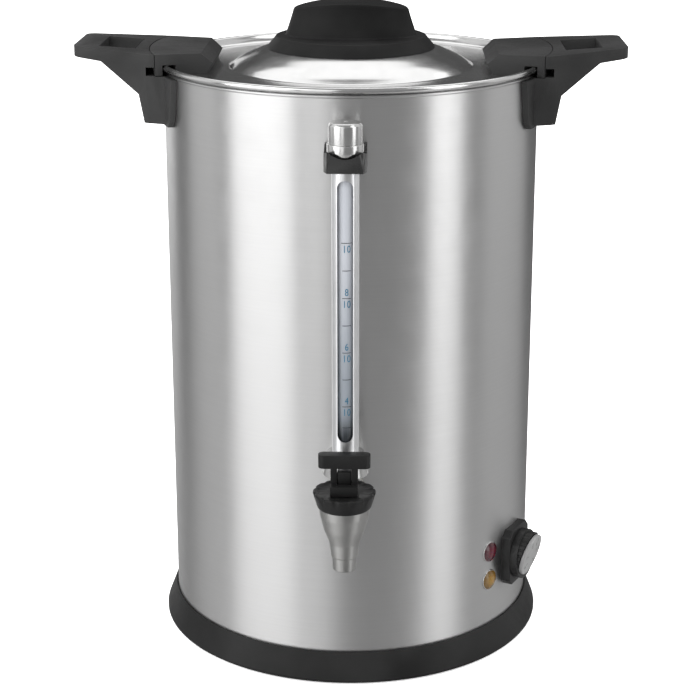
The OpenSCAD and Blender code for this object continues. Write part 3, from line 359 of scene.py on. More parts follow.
steelWear = {
    "cloud": 9, "smear": 60, "fine": 1800,   # how many to a metre
    "round": (3.0, 1.5),                     # fine and broad brush lines: how many to a radian
    "heights": (0.7, 0.3), "broadLines": 0.12, "clouding": 0.35,
    "rough": (-0.03, 0.05, 0.04),            # start, and what smears and fine grain add
    "strength": 0.5,
}


def makeSteel(name, p, wear=steelWear):
    # bare metal: brush lines round the axis where it has any, else a fine grain
    owner, book = newFinish(name)
    at = book.where()
    cloud = book.noise(at, wear["cloud"], 3.0)
    smear = book.noise(at, wear["smear"], 4.0, 0.6)
    if p["lines"]:
        x, y, z = book.parts(at)
        angle = y.maths("ARCTAN2", x)
        (fineRound, broadRound), (fineShare, broadShare) = wear["round"], wear["heights"]
        fine = book.noise(book.vector(angle * fineRound, z * p["lines"], 0.0), 1.0, 4.0, 0.7)
        broad = book.noise(book.vector(angle * broadRound, z * p["lines"] * wear["broadLines"],
                                       3.0), 1.0, 3.0, 0.6)
        height = fine * fineShare + broad * broadShare
    else:
        fine = book.noise(at, wear["fine"], 3.0, 0.6)
        broad, height = smear, fine
    dark = shade(p["colour"], 1 - p["streak"])
    light = shade(p["colour"], 1 + p["streak"] * 0.5)
    base = book.mix(book.smooth(broad, 0.35, 0.65), dark, light)
    base = book.mix(book.smooth(cloud, 0.3, 0.7) * wear["clouding"], base, light)
    start, smeared, grained = wear["rough"]
    rough = (p["rough"] + start + smeared * book.smooth(smear, 0.35, 0.7)
             + grained * book.smooth(fine, 0.3, 0.7))
    book.finish(surface(book, Base_Color=base, Metallic=1.0, Roughness=rough,
                        Anisotropic=p["grain"], Anisotropic_Rotation=p["turn"],
                        Normal=book.bump(height, p["depth"], wear["strength"])))
    return owner


lenses = {
    # deep is the colour at the rim, height the lens's place
    "redLens": {"colour": (0.1, 0.011, 0.022), "deep": (0.04, 0.005, 0.01), "height": 0.0793},
    "amberLens": {"colour": (0.29, 0.165, 0.028), "deep": (0.12, 0.065, 0.011),
                  "height": 0.0572},
}
lensBuild = {
    "az": 50, "out": 0.135, "darkens": (0.002, 0.0068),   # distance from the lens's middle
    # the pale colour and its share are painted glints, where the facets catch the light
    "facets": 620.0, "depth": 0.00012, "pale": (2.2, 0.05), "glinting": 0.35,
}


def makeLens(name, p, build=lensBuild):
    # tinted lens: darker towards its rim, with painted glints: pale speckle where the facets
    # behind it catch the light
    owner, book = newFinish(name)
    at = book.where()
    a = math.radians(build["az"])
    middle = (build["out"] * math.sin(a), -build["out"] * math.cos(a), p["height"])
    gap = book.node("ShaderNodeVectorMath", {"operation": "DISTANCE"}, {0: at, 1: middle}, out=1)
    facets = book.node("ShaderNodeTexVoronoi", sockets={"Vector": at, "Scale": build["facets"]})
    base = book.mix(book.smooth(gap, *build["darkens"]), p["colour"], p["deep"])
    # painted glints: the facets' pale speckle stands in for light that they catch
    base = book.mix(book.smooth(facets, 0.25, 0.05) * build["glinting"], base,
                    shade(p["colour"], *build["pale"]))
    book.finish(surface(book, Base_Color=base, Roughness=0.16, IOR=1.5, Coat_Weight=0.3,
                        Coat_Roughness=0.05, Subsurface_Weight=0.15, Subsurface_Scale=0.002,
                        Normal=book.bump(facets, build["depth"], 0.5)))
    return owner


# rough and alpha: where the glass is clean, and what its film adds
sightGlass = {"colour": (0.62, 0.68, 0.7), "rough": (0.04, 0.06), "alpha": (0.26, 0.08),
              "film": 90}


def makeGlass(name, p):
    # thin clear tube: mostly see-through, with its gloss on top
    owner, book = newFinish(name)
    film = book.noise(book.where(), p["film"], 3.0)
    (rough, roughFilm), (alpha, alphaFilm) = p["rough"], p["alpha"]
    book.finish(surface(book, Base_Color=tint(p["colour"]), IOR=1.47,
                        Roughness=rough + roughFilm * book.smooth(film, 0.45, 0.75),
                        Alpha=alpha + alphaFilm * book.smooth(film, 0.3, 0.7)))
    return owner


# painted light and shade: the film's colours stand in for the lit inner wall of the shield seen
# through the glass, paler upwards and nearly dark at its foot
scaleFilmPaintedLight = {
    "low": (0.26, 0.29, 0.325), "high": (0.5, 0.52, 0.56), "fade": (0.215, 0.33),
    "foot": (0.035, 0.04, 0.045), "footShadeFade": (0.214, 0.193), "streak": (0.2, 0.22, 0.27),
    "streaks": (420, 9), "streaking": 0.3,       # how many to a metre, across and upwards
    "rough": (0.28, 0.1), "alpha": (0.88, 0.1),  # start, and what the streaks add
}


def makeFilm(name, p):
    # milky film behind the scale, coloured with painted light and shade of the shield's inner wall
    # seen through the glass: paler upwards, nearly dark at its foot, faint upright streaks
    owner, book = newFinish(name)
    side, _, height = book.parts(book.where())
    # painted light paler upwards, and painted shade nearly dark at the foot
    base = book.mix(book.smooth(height, *p["fade"]), p["low"], p["high"])
    base = book.mix(book.smooth(height, *p["footShadeFade"]), base, p["foot"])
    across, up = p["streaks"]
    streak = book.noise(book.vector(side * across, 0.0, height * up), 1.0, 3.0, 0.6)
    base = book.mix(book.smooth(streak, 0.45, 0.75) * p["streaking"], base, p["streak"])
    (rough, roughStreak), (alpha, alphaStreak) = p["rough"], p["alpha"]
    book.finish(surface(book, Base_Color=base, Roughness=rough + roughStreak * streak,
                        Coat_Weight=0.5, Coat_Roughness=0.08,
                        Alpha=alpha + alphaStreak * streak))
    return owner


inks = {
    "tealInk": {"colour": (0.02, 0.12, 0.2), "rough": 0.4, "grain": 2400, "worn": 1.5},
    "darkInk": {"colour": (0.02, 0.02, 0.022), "rough": 0.4, "grain": 2400, "worn": 1.5},
}


def makeInk(name, p):
    # printed figure, paler where it is worn
    owner, book = newFinish(name)
    worn = book.noise(book.where(), p["grain"], 3.0, 0.6)
    base = book.mix(book.smooth(worn, 0.4, 0.7), p["colour"], shade(p["colour"], p["worn"]))
    book.finish(surface(book, Base_Color=base, Roughness=p["rough"]))
    return owner


finishes = {name: makePlastic(name, p) for name, p in plastics.items()}
finishes.update({name: makeSteel(name, p) for name, p in steels.items()})
finishes.update({name: makeLens(name, p) for name, p in lenses.items()})
finishes.update({name: makeInk(name, p) for name, p in inks.items()})
finishes["sightGlass"] = makeGlass("sightGlass", sightGlass)
finishes["scaleFilmPaintedLight"] = makeFilm("scaleFilmPaintedLight", scaleFilmPaintedLight)
print("finishes made:", len(finishes))

# what the frame's own nodes wear
nodeFinish = {
    "base_ring": "basePlastic", "bottom_cover": "zincSteel", "rubber_feet": "footRubber",
    "foot_screws": "zincSteel", "tie_rods": "zincSteel", "tie_nuts": "zincSteel",
    "outer_shell": "shellSteel", "inner_tank": "tankSteel", "heater_plate": "castAluminium",
    "heating_element": "zincSteel", "keep_warm_element": "zincSteel",
    "thermal_cutout": "innerPlastic", "thermostat": "zincSteel", "capillary": "copper",
    "terminal_block": "terminalPlastic", "wiring": "wireSheath", "handle_left": "handlePlastic",
    "handle_right": "handlePlastic", "handle_screws": "zincSteel", "power_inlet": "innerPlastic",
    "inlet_pins": "brass", "inlet_screws": "zincSteel", "lamp_bezels": "capChrome",
    "lamp_lens_red": "redLens", "lamp_lens_amber": "amberLens", "lamp_bodies": "innerPlastic",
    "dial_plate": "dialPlastic", "plate_screws": "zincSteel", "tap_body": "tapSteel",
    "tap_gaskets": "silicone", "tap_lock_nut": "tapSteel", "tap_bonnet": "tapPlastic",
    "valve_spring": "tankSteel", "gauge_nut": "capChrome", "sight_glass": "sightGlass",
    "sight_seals": "silicone", "level_scale": "scaleFilmPaintedLight", "sight_shield": "shieldChrome",
    "sight_collar": "capChrome", "sight_cap": "capChrome", "sight_clamp": "clampPlastic",
    "clamp_screw": "zincSteel", "lid_gasket": "silicone", "lid_pan": "lidSteel",
    "lid_lug_left": "handlePlastic", "lid_lug_right": "handlePlastic", "lug_screws": "zincSteel",
    "lid_knob": "knobPlastic", "knob_screws": "zincSteel", "pump_tube": "tankSteel",
    "coffee_basket": "tankSteel", "basket_cover": "tankSteel", "valve_stem": "tankSteel",
    "seat_cup": "silicone", "tap_lever": "tapPlastic", "lever_pin": "tankSteel",
    "dial_knob": "dialPlastic", "dial_face": "facePlastic", "dial_spindle": "zincSteel",
}
for name, obj in nodes.items():
    obj.data.materials.clear()
    obj.data.materials.append(finishes[nodeFinish[name]])
print("nodes dressed")


# mesh helpers: pieces are drawn in millimetres
def outAt(az, z):
    # local +Z points outward at that angle, local +Y up
    turn = Matrix.Rotation(math.radians(az), 4, "Z") @ Matrix.Rotation(math.radians(90), 4, "X")
    return Matrix.Translation((0, 0, z)) @ turn


def atPoint(x=0.0, y=0.0, z=0.0):
    return Matrix.Translation((x, y, z))


def soften(points, radii, steps=4):
    # rounds the corners of a closed outline, each by its own radius
    done = []
    for i, r in enumerate(radii):
        here = Vector(points[i])
        back, fore = Vector(points[i - 1]) - here, Vector(points[(i + 1) % len(points)]) - here
        angle = back.angle(fore)
        if r <= 0 or angle > math.radians(176):
            done.append(tuple(here))
            continue
        reach = min(r / math.tan(angle / 2), back.length * 0.49, fore.length * 0.49)
        start, end = here + back.normalized() * reach, here + fore.normalized() * reach
        for k in range(steps + 1):
            t = k / steps
            done.append(tuple(start * (1 - t) ** 2 + here * 2 * t * (1 - t) + end * t ** 2))
    return done


def revolve(outline, steps):
    # closed outline of (radius, height) turned round local Z
    mesh = bmesh.new()
    rings = []
    for k in range(steps):
        a = 2 * math.pi * k / steps
        rings.append([mesh.verts.new((r * math.cos(a), r * math.sin(a), z)) for r, z in outline])
    n = len(outline)
    for k in range(steps):
        one, two = rings[k], rings[(k + 1) % steps]
        for i in range(n):
            j = (i + 1) % n
            if outline[i][0] < 1e-7 and outline[j][0] < 1e-7:
                continue
            mesh.faces.new((one[i], two[i], two[j], one[j]))
    bmesh.ops.remove_doubles(mesh, verts=mesh.verts, dist=1e-7)
    bmesh.ops.recalc_face_normals(mesh, faces=mesh.faces)
    return mesh


def prism(outline, low, high):
    # closed outline in local XY, drawn out along Z
    mesh = bmesh.new()
    foot = [mesh.verts.new((x, y, low)) for x, y in outline]
    top = [mesh.verts.new((x, y, high)) for x, y in outline]
    n = len(outline)
    mesh.faces.new(foot[::-1])
    mesh.faces.new(top)
    for i in range(n):
        j = (i + 1) % n
        mesh.faces.new((foot[i], foot[j], top[j], top[i]))
    bmesh.ops.recalc_face_normals(mesh, faces=mesh.faces)
    return mesh


def skin(mesh, rings):
    # faces from each ring of points to the next
    for one, two in zip(rings, rings[1:]):
        for i in range(len(one)):
            j = (i + 1) % len(one)
            mesh.faces.new((one[i], one[j], two[j], two[i]))


def bevelSharp(mesh, width, angle=25):
    # rounds the edges that bend more than the angle
    edges = [e for e in mesh.edges if len(e.link_faces) == 2
             and e.calc_face_angle(0) > math.radians(angle)]
    bmesh.ops.bevel(mesh, geom=edges, offset=width, segments=3, profile=0.5,
                    affect="EDGES", clamp_overlap=True)


def join(*meshes):
    # several meshes as one
    whole = bmesh.new()
    for part in meshes:
        held = bpy.data.meshes.new("held")
        part.to_mesh(held)
        part.free()
        whole.from_mesh(held)
        bpy.data.meshes.remove(held)
    return whole


def fromNode(node, flat=0.6):
    # the node's own faces, with the flat ones joined up again
    mesh = bmesh.new()
    mesh.from_mesh(nodes[node].data)
    mesh.transform(Matrix.Scale(1000, 4))
    bmesh.ops.remove_doubles(mesh, verts=mesh.verts, dist=0.002)
    bmesh.ops.dissolve_limit(mesh, angle_limit=math.radians(flat), verts=mesh.verts,
                             edges=mesh.edges)
    return mesh


def piece(name, mesh, body, finish, replaced=(), place=None, sharp=32):
    # a finished object that rides on a body and may stand for some of the frame's nodes
    if place is not None:
        mesh.transform(place)
    mesh.transform(Matrix.Scale(0.001, 4))
    data = bpy.data.meshes.new(name)
    mesh.to_mesh(data)
    mesh.free()
    data.shade_smooth()
    data.set_sharp_from_angle(angle=math.radians(sharp))
    data.materials.append(finishes[finish])
    obj = addObject(name, data)
    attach(obj, body)
    if replaced:
        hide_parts(*replaced)
    return obj


def curve(points, steps=6):
    # smooth line through the points, straight on at both ends
    full = [points[0]] + list(points) + [points[-1]]
    done = []
    for i in range(len(points) - 1):
        p0, p1, p2, p3 = [Vector(q) for q in full[i:i + 4]]
        for k in range(steps):
            t = k / steps
            done.append(tuple(0.5 * (2 * p1 + (p2 - p0) * t + (2 * p0 - 5 * p1 + 4 * p2 - p3)
                                     * t * t + (3 * p1 - p0 - 3 * p2 + p3) * t ** 3)))
    return done + [tuple(points[-1])]


def arc(middle, radius, start, end, steps):
    # points round part of a circle, from one angle to the other
    return [(middle[0] + radius * math.cos(math.radians(start + (end - start) * k / steps)),
             middle[1] + radius * math.sin(math.radians(start + (end - start) * k / steps)))
            for k in range(steps + 1)]


def carve(mesh, *cutters):
    # takes the cutters away from the mesh
    def hold(part, name):
        data = bpy.data.meshes.new(name)
        part.to_mesh(data)
        part.free()
        return addObject(name, data)

    body, tool = hold(mesh, "body"), hold(join(*cutters), "tool")
    change = body.modifiers.new("cut", "BOOLEAN")
    change.operation, change.solver, change.object = "DIFFERENCE", "EXACT", tool
    change.use_self = True
    bpy.context.view_layer.update()
    ready = body.evaluated_get(bpy.context.evaluated_depsgraph_get())
    result = bmesh.new()
    result.from_mesh(ready.data)
    for obj in (body, tool):
        bpy.data.objects.remove(obj)
    return result


# outer shell with its rolled rim
shell = {
    "radius": 135, "wall": 0.8, "foot": 21, "chamfer": (0.15, 0.2),
    "bead": 1.2, "beadHeight": 422.1, "beadTurn": (-84, 228, 16), "underBead": 1.3,
    "rows": (24, 36, 48, 72, 90, 131, 159, 230, 300, 384),
    "window": (7.1, 48, 72),   # opening for the inlet, at the back: half angle, foot and top
}


def makeShell(s):
    r, t, foot = s["radius"], s["wall"], s["foot"]
    inward, up = s["chamfer"]
    outline = [(r - t, foot), (r - inward, foot), (r, foot + up)]
    outline += [(r, z) for z in s["rows"]]
    outline += arc((r, s["beadHeight"]), s["bead"], *s["beadTurn"])
    outline += [(r - t, s["beadHeight"] - s["underBead"])]
    outline += [(r - t, z) for z in s["rows"][::-1]]
    mesh = revolve(outline, 256)
    wide, low, high = s["window"]
    gone = []
    for face in mesh.faces:
        mid = face.calc_center_median()
        if (mid.y > 0 and abs(math.degrees(math.atan2(mid.x, mid.y))) < wide
                and low < mid.z < high):
            gone.append(face)
    bmesh.ops.delete(mesh, geom=gone, context="FACES")
    bmesh.ops.bridge_loops(mesh, edges=[e for e in mesh.edges if e.is_boundary])
    bmesh.ops.recalc_face_normals(mesh, faces=mesh.faces)
    piece("shell", mesh, "urn", "shellSteel", ["outer_shell"], sharp=40)


makeShell(shell)

# base ring
baseRing = {
    "outline": [(143.5, 1.5), (143.5, 3.5), (136.4, 22), (135.6, 22), (135.6, 21),
                (134.05, 21), (134.05, 30), (131.65, 30), (131.65, 13), (126, 13), (126, 10),
                (139, 10), (140.5, 3.5), (140.5, 1.5)],
    "rounding": [0.7, 1.6, 0.35, 0.1, 0.1, 0.1, 0.3, 0.3, 0.6, 0.3, 0.3, 0.6, 0.6, 0.3],
}
piece("baseSkirt", revolve(soften(baseRing["outline"], baseRing["rounding"], 5), 256), "urn",
      "basePlastic", ["base_ring"], sharp=50)

# lid pan
lidPan = {
    "middle": [(0, 436.2), (30, 436.2)],
    "dome": [(54, 436.2), (57, 436.15), (61, 435.4), (66, 433.9), (72, 431.5), (78, 428.9),
             (83, 426.1), (86.6, 423.4), (88.2, 422.3), (90, 422)],
    "ring": [(110, 422), (130.8, 422), (131.9, 422.2), (132.8, 423.1), (133.8, 424.6),
             (134.5, 425.7)],
    "bead": ((136.8, 426.2), 2.2, 172, -138, 20),   # middle, radius, angles, steps
    "under": [(134.4, 424.0), (133.1, 421.9), (131.6, 421), (110, 421)],
    "sheet": (0.4, 1.0),   # inward and downward, from the dome to its underside
    "underMiddle": [(30, 435.2), (0, 435.2)],
}


def makeLidPan(s):
    dome = curve(s["dome"])
    inward, down = s["sheet"]
    outline = s["middle"] + dome + s["ring"] + arc(*s["bead"]) + s["under"]
    outline += [(q[0] - inward, q[1] - down) for q in dome[::-1]] + s["underMiddle"]
    piece("lidPan", revolve(outline, 256), "lid", "lidSteel", ["lid_pan"], sharp=50)


makeLidPan(lidPan)

# lid knob: round flare and oval grip
lidKnob = {
    "flare": [(0, 436.3), (57.5, 436.3), (59.2, 435.4), (60.5, 435.4), (60.3, 436.2),
              (53.7, 444), (0, 444)],
    "rounding": [0, 0.3, 0.3, 0.3, 0.4, 1.3, 0],
    "foot": (46.8, 27.5, 444),   # the grip's half widths and the height where it stands
    "taper": 5.16, "edge": 2.4, "toe": 1.6, "sunk": 0.05,
    "crown": (190.55, 277.75),   # radius and height of the middle of its arched top
    "steps": 144, "toeRows": 4, "sideRows": 8, "edgeRows": 6, "topRows": 8,
}


def makeKnob(s):
    wide, deep, foot = s["foot"]
    mesh, rings = bmesh.new(), []

    def ring(halfWide, halfDeep, height):
        # height is a function of the sideways place
        row = []
        for k in range(s["steps"]):
            a = 2 * math.pi * k / s["steps"]
            x, y = halfWide * math.cos(a), halfDeep * math.sin(a)
            row.append(mesh.verts.new((x, y, height(x))))
        rings.append(row)

    def crown(x):
        size, middle = s["crown"]
        return middle + math.sqrt(size ** 2 - x ** 2)

    toe, taper, edge = s["toe"], s["taper"], s["edge"]
    for k in range(s["toeRows"] + 1):
        a = math.radians(90 * k / s["toeRows"])
        out = toe * (1 - math.sin(a))
        ring(wide + out, deep + out, lambda x: foot + toe * (1 - math.cos(a)) - s["sunk"])
    for k in range(1, s["sideRows"] + 1):
        t = k / s["sideRows"]
        ring(wide - taper * t, deep - taper * t,
             lambda x: foot + toe + t * (crown(x) - edge - foot - toe))
    for k in range(1, s["edgeRows"] + 1):
        a = math.radians(90 * k / s["edgeRows"])
        inset = taper + edge * (1 - math.cos(a))
        ring(wide - inset, deep - inset, lambda x: crown(x) - edge * (1 - math.sin(a)))
    for k in range(1, s["topRows"]):
        share = 1 - k / s["topRows"]
        ring((wide - taper - edge) * share, (deep - taper - edge) * share, crown)
    skin(mesh, rings)
    mesh.faces.new(rings[-1])
    mesh.faces.new(rings[0][::-1])
    bmesh.ops.recalc_face_normals(mesh, faces=mesh.faces)
    flare = revolve(soften(s["flare"], s["rounding"], 6), 192)
    piece("lidKnob", join(flare, mesh), "lid", "knobPlastic", ["lid_knob"], sharp=44)


makeKnob(lidKnob)
print("shell, base and lid made")

# mouldings whose edges are broken: the frame's own shape, rounded
roundedParts = {
    # name: (node, edge radius, finish)
    "handleRight": ("handle_right", 1.1, "handlePlastic"),
    "handleLeft": ("handle_left", 1.1, "handlePlastic"),
    "lidLugRight": ("lid_lug_right", 0.8, "handlePlastic"),
    "lidLugLeft": ("lid_lug_left", 0.8, "handlePlastic"),
    "tapLever": ("tap_lever", 0.4, "tapPlastic"),
    "dialKnob": ("dial_knob", 0.22, "dialPlastic"),
    "dialFace": ("dial_face", 0.4, "facePlastic"),
    "powerInlet": ("power_inlet", 0.5, "innerPlastic"),
    "gaugeShield": ("sight_shield", 0.2, "shieldChrome"),
}
bodyOf = {node: body for body, held in frame["record"]["behaviour"]["bodies"].items()
          for node in held}
for name, (node, radius, finish) in roundedParts.items():
    mesh = fromNode(node)
    bevelSharp(mesh, radius, 28)
    piece(name, mesh, bodyOf[node], finish, [node], sharp=38)
print("mouldings rounded")

# tap
tap = {
    "axis": (0, -181, 0),
    "cup": [(8, 108.5), (8.5, 118), (9.1, 118.6), (10.4, 128), (14.05, 138), (16.6, 148),
            (17.25, 154), (15, 154), (15, 160.5), (10.5, 160.5), (10.5, 136), (5.5, 136),
            (5.5, 108.5)],
    "cupRounding": [0.9, 0.4, 0.4, 9, 9, 7, 0.5, 0.1, 0.4, 0.3, 0.3, 0.3, 0.6],
    "shank": [(0, 123), (9, 123), (9, 136.6), (14.5, 136.6), (14.5, 139.2), (9, 139.2),
              (9, 172), (0, 172)],
    "shankRounding": [0, 0.3, 0.1, 0.4, 0.9, 0.6, 0.3, 0],
    "boss": [(0, 145), (7.4, 145), (7.4, 168), (0, 168)], "bossAxis": (0, -152, 0),
}
piece("tapBody", revolve(soften(tap["cup"], tap["cupRounding"], 5), 128), "urn", "tapSteel",
      ["tap_body"], atPoint(*tap["axis"]))
piece("tapShank", revolve(soften(tap["shank"], tap["shankRounding"]), 96), "urn", "tapSteel",
      ["tap_body"], outAt(0, 145))
piece("gaugeBoss", revolve(tap["boss"], 72), "urn", "tapSteel", ["tap_body"],
      atPoint(*tap["bossAxis"]))

# the bonnet's grip has a round cut between each two lobes
bonnet = {
    "foot": (18.2, 154), "top": (21.1, 165), "lobes": 12, "edge": 0.9, "steps": 288,
    "cut": (23.7, 3.6), "blend": 0.5,        # middle and radius of a cut, softness of its rims
    "under": ((3, 0), (0.4, 0), (0, 0.4)),   # inward from the side, up from the foot
    "brim": ((1.6, 0.02), (2.3, 0.5)),       # inward from the edge, down from the top
    "inside": ((11, 164.5), (3.2, 164.8), (3.2, 162), (15.2, 161.3), (15.2, 154)),
}


def makeBonnet(s):
    mesh, rings = bmesh.new(), []
    away, size = s["cut"]
    (r0, z0), (r1, z1) = s["foot"], s["top"]

    def reach(a, radius):
        # how far out the grip goes at an angle
        turn = math.pi * 2 / s["lobes"]
        off = (a - turn / 2) % turn
        off = min(off, turn - off)
        side = away * math.sin(off)
        if abs(side) >= size:
            return radius
        cutAt = away * math.cos(off) - math.sqrt(size ** 2 - side ** 2)
        h = max(0, min(1, 0.5 + 0.5 * (cutAt - radius) / s["blend"]))
        return cutAt * (1 - h) + radius * h - s["blend"] * h * (1 - h)

    e = s["edge"]
    # share of the way up the side, height, inset
    rows = [(0, z0 + up, inward) for inward, up in s["under"]]
    rows += [(t / 6, z0 + (z1 - z0 - e) * t / 6, 0) for t in range(1, 7)]
    rows += [(1, z1 - e + e * math.sin(math.radians(a)), e * (1 - math.cos(math.radians(a))))
             for a in (30, 60, 90)]
    rows += [(1, z1 - down, e + inward) for inward, down in s["brim"]]
    angles = [2 * math.pi * k / s["steps"] for k in range(s["steps"])]
    for t, z, inset in rows:
        radius = r0 + (r1 - r0) * t
        rings.append([mesh.verts.new(((reach(a, radius) - inset) * math.cos(a),
                                      (reach(a, radius) - inset) * math.sin(a), z))
                      for a in angles])
    for r, z in s["inside"]:
        rings.append([mesh.verts.new((r * math.cos(a), r * math.sin(a), z)) for a in angles])
    rings.append(rings[0])
    skin(mesh, rings)
    bmesh.ops.recalc_face_normals(mesh, faces=mesh.faces)
    piece("tapBonnet", mesh, "urn", "tapPlastic", ["tap_bonnet"], atPoint(*tap["axis"]), 40)


makeBonnet(bonnet)

# valve stem: steel rod, dark block with a hole for the lever's pin
stem = {"rod": [(0, 138), (3, 138), (3, 141), (9, 141), (9, 143), (3, 143), (3, 167), (0, 167)],
        "rounding": [0, 0.3, 0.2, 0.4, 0.4, 0.3, 0.1, 0],
        "block": (4.7, 3.5, 165.4, 179.4), "edge": 0.8, "pin": (1.56, 8, 168.3)}


def makeStem(s):
    place = atPoint(*tap["axis"])
    piece("stemRod", revolve(soften(s["rod"], s["rounding"]), 48), "stem", "tankSteel",
          ["valve_stem"], place)
    wide, deep, low, high = s["block"]
    block = prism([(-wide, -deep), (wide, -deep), (wide, deep), (-wide, deep)], low, high)
    bevelSharp(block, s["edge"])
    radius, half, height = s["pin"]
    hole = revolve([(0, -half), (radius, -half), (radius, half), (0, half)], 32)
    hole.transform(atPoint(0, 0, height) @ Matrix.Rotation(math.radians(90), 4, "Y"))
    piece("stemBlock", carve(block, hole), "stem", "tapPlastic", ["valve_stem"], place, 40)


makeStem(stem)


def makeSpring():
    coil = piece("valveSpring", fromNode("valve_spring"), "urn", "tankSteel", ["valve_spring"])
    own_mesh(coil)


makeSpring()
print("tap made")

# sight gauge
gauge = {
    "axis": (0, -152, 0),
    # name: (node, outline, rounding of its corners)
    "turned": {
        "gaugeNut": ("gauge_nut", [(9.35, 166.5), (16, 166.5), (12.8, 182), (9.35, 182)],
                     [0.2, 0.6, 0.8, 0.2]),
        "gaugeCollar": ("sight_collar", [(9.28, 385), (10.05, 385), (12.25, 389.6), (12.25, 395),
                                         (9.28, 395)], [0, 0.3, 0.9, 0.5, 0]),
        "gaugeCap": ("sight_cap", [(0, 395), (11.4, 395), (11.4, 407.2), (10.4, 408.6), (9.2, 409),
                                   (1.2, 409), (1.2, 407.5), (0, 407.3)],
                     [0, 0.3, 0.8, 0.6, 0.5, 0.2, 0.1, 0]),
    },
}
for name, (node, outline, rounding) in gauge["turned"].items():
    piece(name, revolve(soften(outline, rounding, 5), 96), "urn", "capChrome", [node],
          atPoint(*gauge["axis"]))

clamp = {"saddle": [(0, 378), (6.5, 378), (11.7, 386.2), (19.5, 394), (0, 394)], "edge": 0.5}


def makeClamp(s):
    # the frame's clamp with a saddle cut right across its front for the collar
    mesh = fromNode("sight_clamp")
    bevelSharp(mesh, s["edge"], 28)
    saddle = revolve(s["saddle"], 96)
    saddle.transform(atPoint(*gauge["axis"]))
    piece("gaugeClamp", carve(mesh, saddle), "urn", "clampPlastic", ["sight_clamp"], None, 38)


makeClamp(clamp)

film = {"inner": 6.2, "outer": 6.32, "low": 187.5, "high": 375, "half": 84, "steps": 28}


def makeScaleFilm(s):
    # milky strip on the front of the glass, as tall as the window
    turn = [math.radians(s["half"] * (2 * k / s["steps"] - 1)) for k in range(s["steps"] + 1)]
    outline = [(s["outer"] * math.sin(a), -s["outer"] * math.cos(a)) for a in turn]
    outline += [(s["inner"] * math.sin(a), -s["inner"] * math.cos(a)) for a in turn[::-1]]
    piece("scaleStrip", prism(outline, s["low"], s["high"]), "urn", "scaleFilmPaintedLight", ["level_scale"],
          atPoint(*gauge["axis"]), 40)


makeScaleFilm(film)

scale = {"radius": 6.42, "depth": 0.06, "lift": 0.03, "digit": 7.0, "squeeze": 0.76,
         "pitch": 0.56, "bar": 0.42, "aside": 1.0, "over": 3.9, "under": -4.3,
         # height, width of the line, figure over it, figure under it
         "marks": ((201.1, 5.8, None, None), (216.1, 6, "4", "10"), (235.2, 5.8, None, None),
                   (254.1, 6, "6", "10"), (273.0, 5.8, None, None), (291.9, 6, "8", "10"),
                   (310.8, 5.8, None, None), (329.6, 7.4, None, "10"))}


def glyph(text, size, depth):
    # flat figure in local XY, middle at the origin
    data = bpy.data.curves.new("figure", "FONT")
    data.body, data.size, data.extrude, data.resolution_u = text, size, depth / 2, 6
    data.align_x, data.align_y = "CENTER", "CENTER"
    obj = addObject("figure", data)
    bpy.context.view_layer.update()
    mesh = bmesh.new()
    mesh.from_mesh(obj.evaluated_get(bpy.context.evaluated_depsgraph_get()).to_mesh())
    bpy.data.objects.remove(obj)
    bmesh.ops.remove_doubles(mesh, verts=mesh.verts, dist=1e-5)
    return mesh


def bent(mesh, radius):
    # wraps local X round a tube that faces the front; local Y goes up
    for v in mesh.verts:
        a = v.co.x / radius
        r = radius + v.co.z
        v.co = Vector((r * math.sin(a), -r * math.cos(a), v.co.y))
    return mesh


def bar(width, height, depth, cells=12):
    # flat bar in local XY, in cells that can follow a bend
    return prism([(-width / 2 + width * k / cells, -height / 2) for k in range(cells + 1)]
                 + [(width / 2 - width * k / cells, height / 2) for k in range(cells + 1)],
                 -depth / 2, depth / 2)


def makeScale(s):
    figures, lines = [], []

    def lay(mesh, height, group):
        mesh = bent(mesh, s["radius"])
        mesh.transform(atPoint(0, gauge["axis"][1], height))
        group.append(mesh)

    for height, width, over, under in s["marks"]:
        line = bar(width, s["bar"], s["depth"])
        line.transform(atPoint(s["aside"]))
        lay(line, height, lines)
        for text, up in ((over, s["over"]), (under, s["under"])):
            for k, digit in enumerate(text or ""):
                mark = glyph(digit, s["digit"], s["depth"])
                mark.transform(Matrix.Diagonal((s["squeeze"], 1, 1, 1)))
                shift = (k - (len(text) - 1) / 2) * s["digit"] * s["squeeze"] * s["pitch"]
                mark.transform(atPoint(s["aside"] + shift, up, s["lift"]))
                lay(mark, height, figures)
    piece("scaleFigures", join(*figures), "urn", "tealInk", (), None, 40)
    piece("scaleLines", join(*lines), "urn", "darkInk", (), None, 40)


makeScale(scale)
print("gauge made")

# lamps
lamps = {
    "az": 50, "heights": {"Amber": 57.2, "Red": 79.3},
    "bezel": [(7.15, 134.6), (7.8, 134.6), (7.8, 135.4), (7.55, 135.8), (7.15, 135.8)],
    "rounding": [0.05, 0.1, 0.4, 0.25, 0.1],
    "ball": 13.2, "apex": 138.1, "edge": 7.2, "back": 134.4, "rows": 12,
}


def makeLamps(s):
    bezels = []
    middle = s["apex"] - s["ball"]
    reach = [s["edge"] * k / s["rows"] for k in range(s["rows"] + 1)]
    dome = [(r, middle + math.sqrt(s["ball"] ** 2 - r ** 2)) for r in reach]
    for name, height in s["heights"].items():
        place = outAt(s["az"], height)
        part = revolve(soften(s["bezel"], s["rounding"], 5), 72)
        part.transform(place)
        bezels.append(part)
        lens = revolve(dome + [(s["edge"], s["back"]), (0, s["back"])], 72)
        piece("lens" + name, lens, "urn", name.lower() + "Lens", ["lamp_lens_" + name.lower()],
              place, 50)
    piece("lampBezels", join(*bezels), "urn", "capChrome", ["lamp_bezels"], None, 50)


makeLamps(lamps)

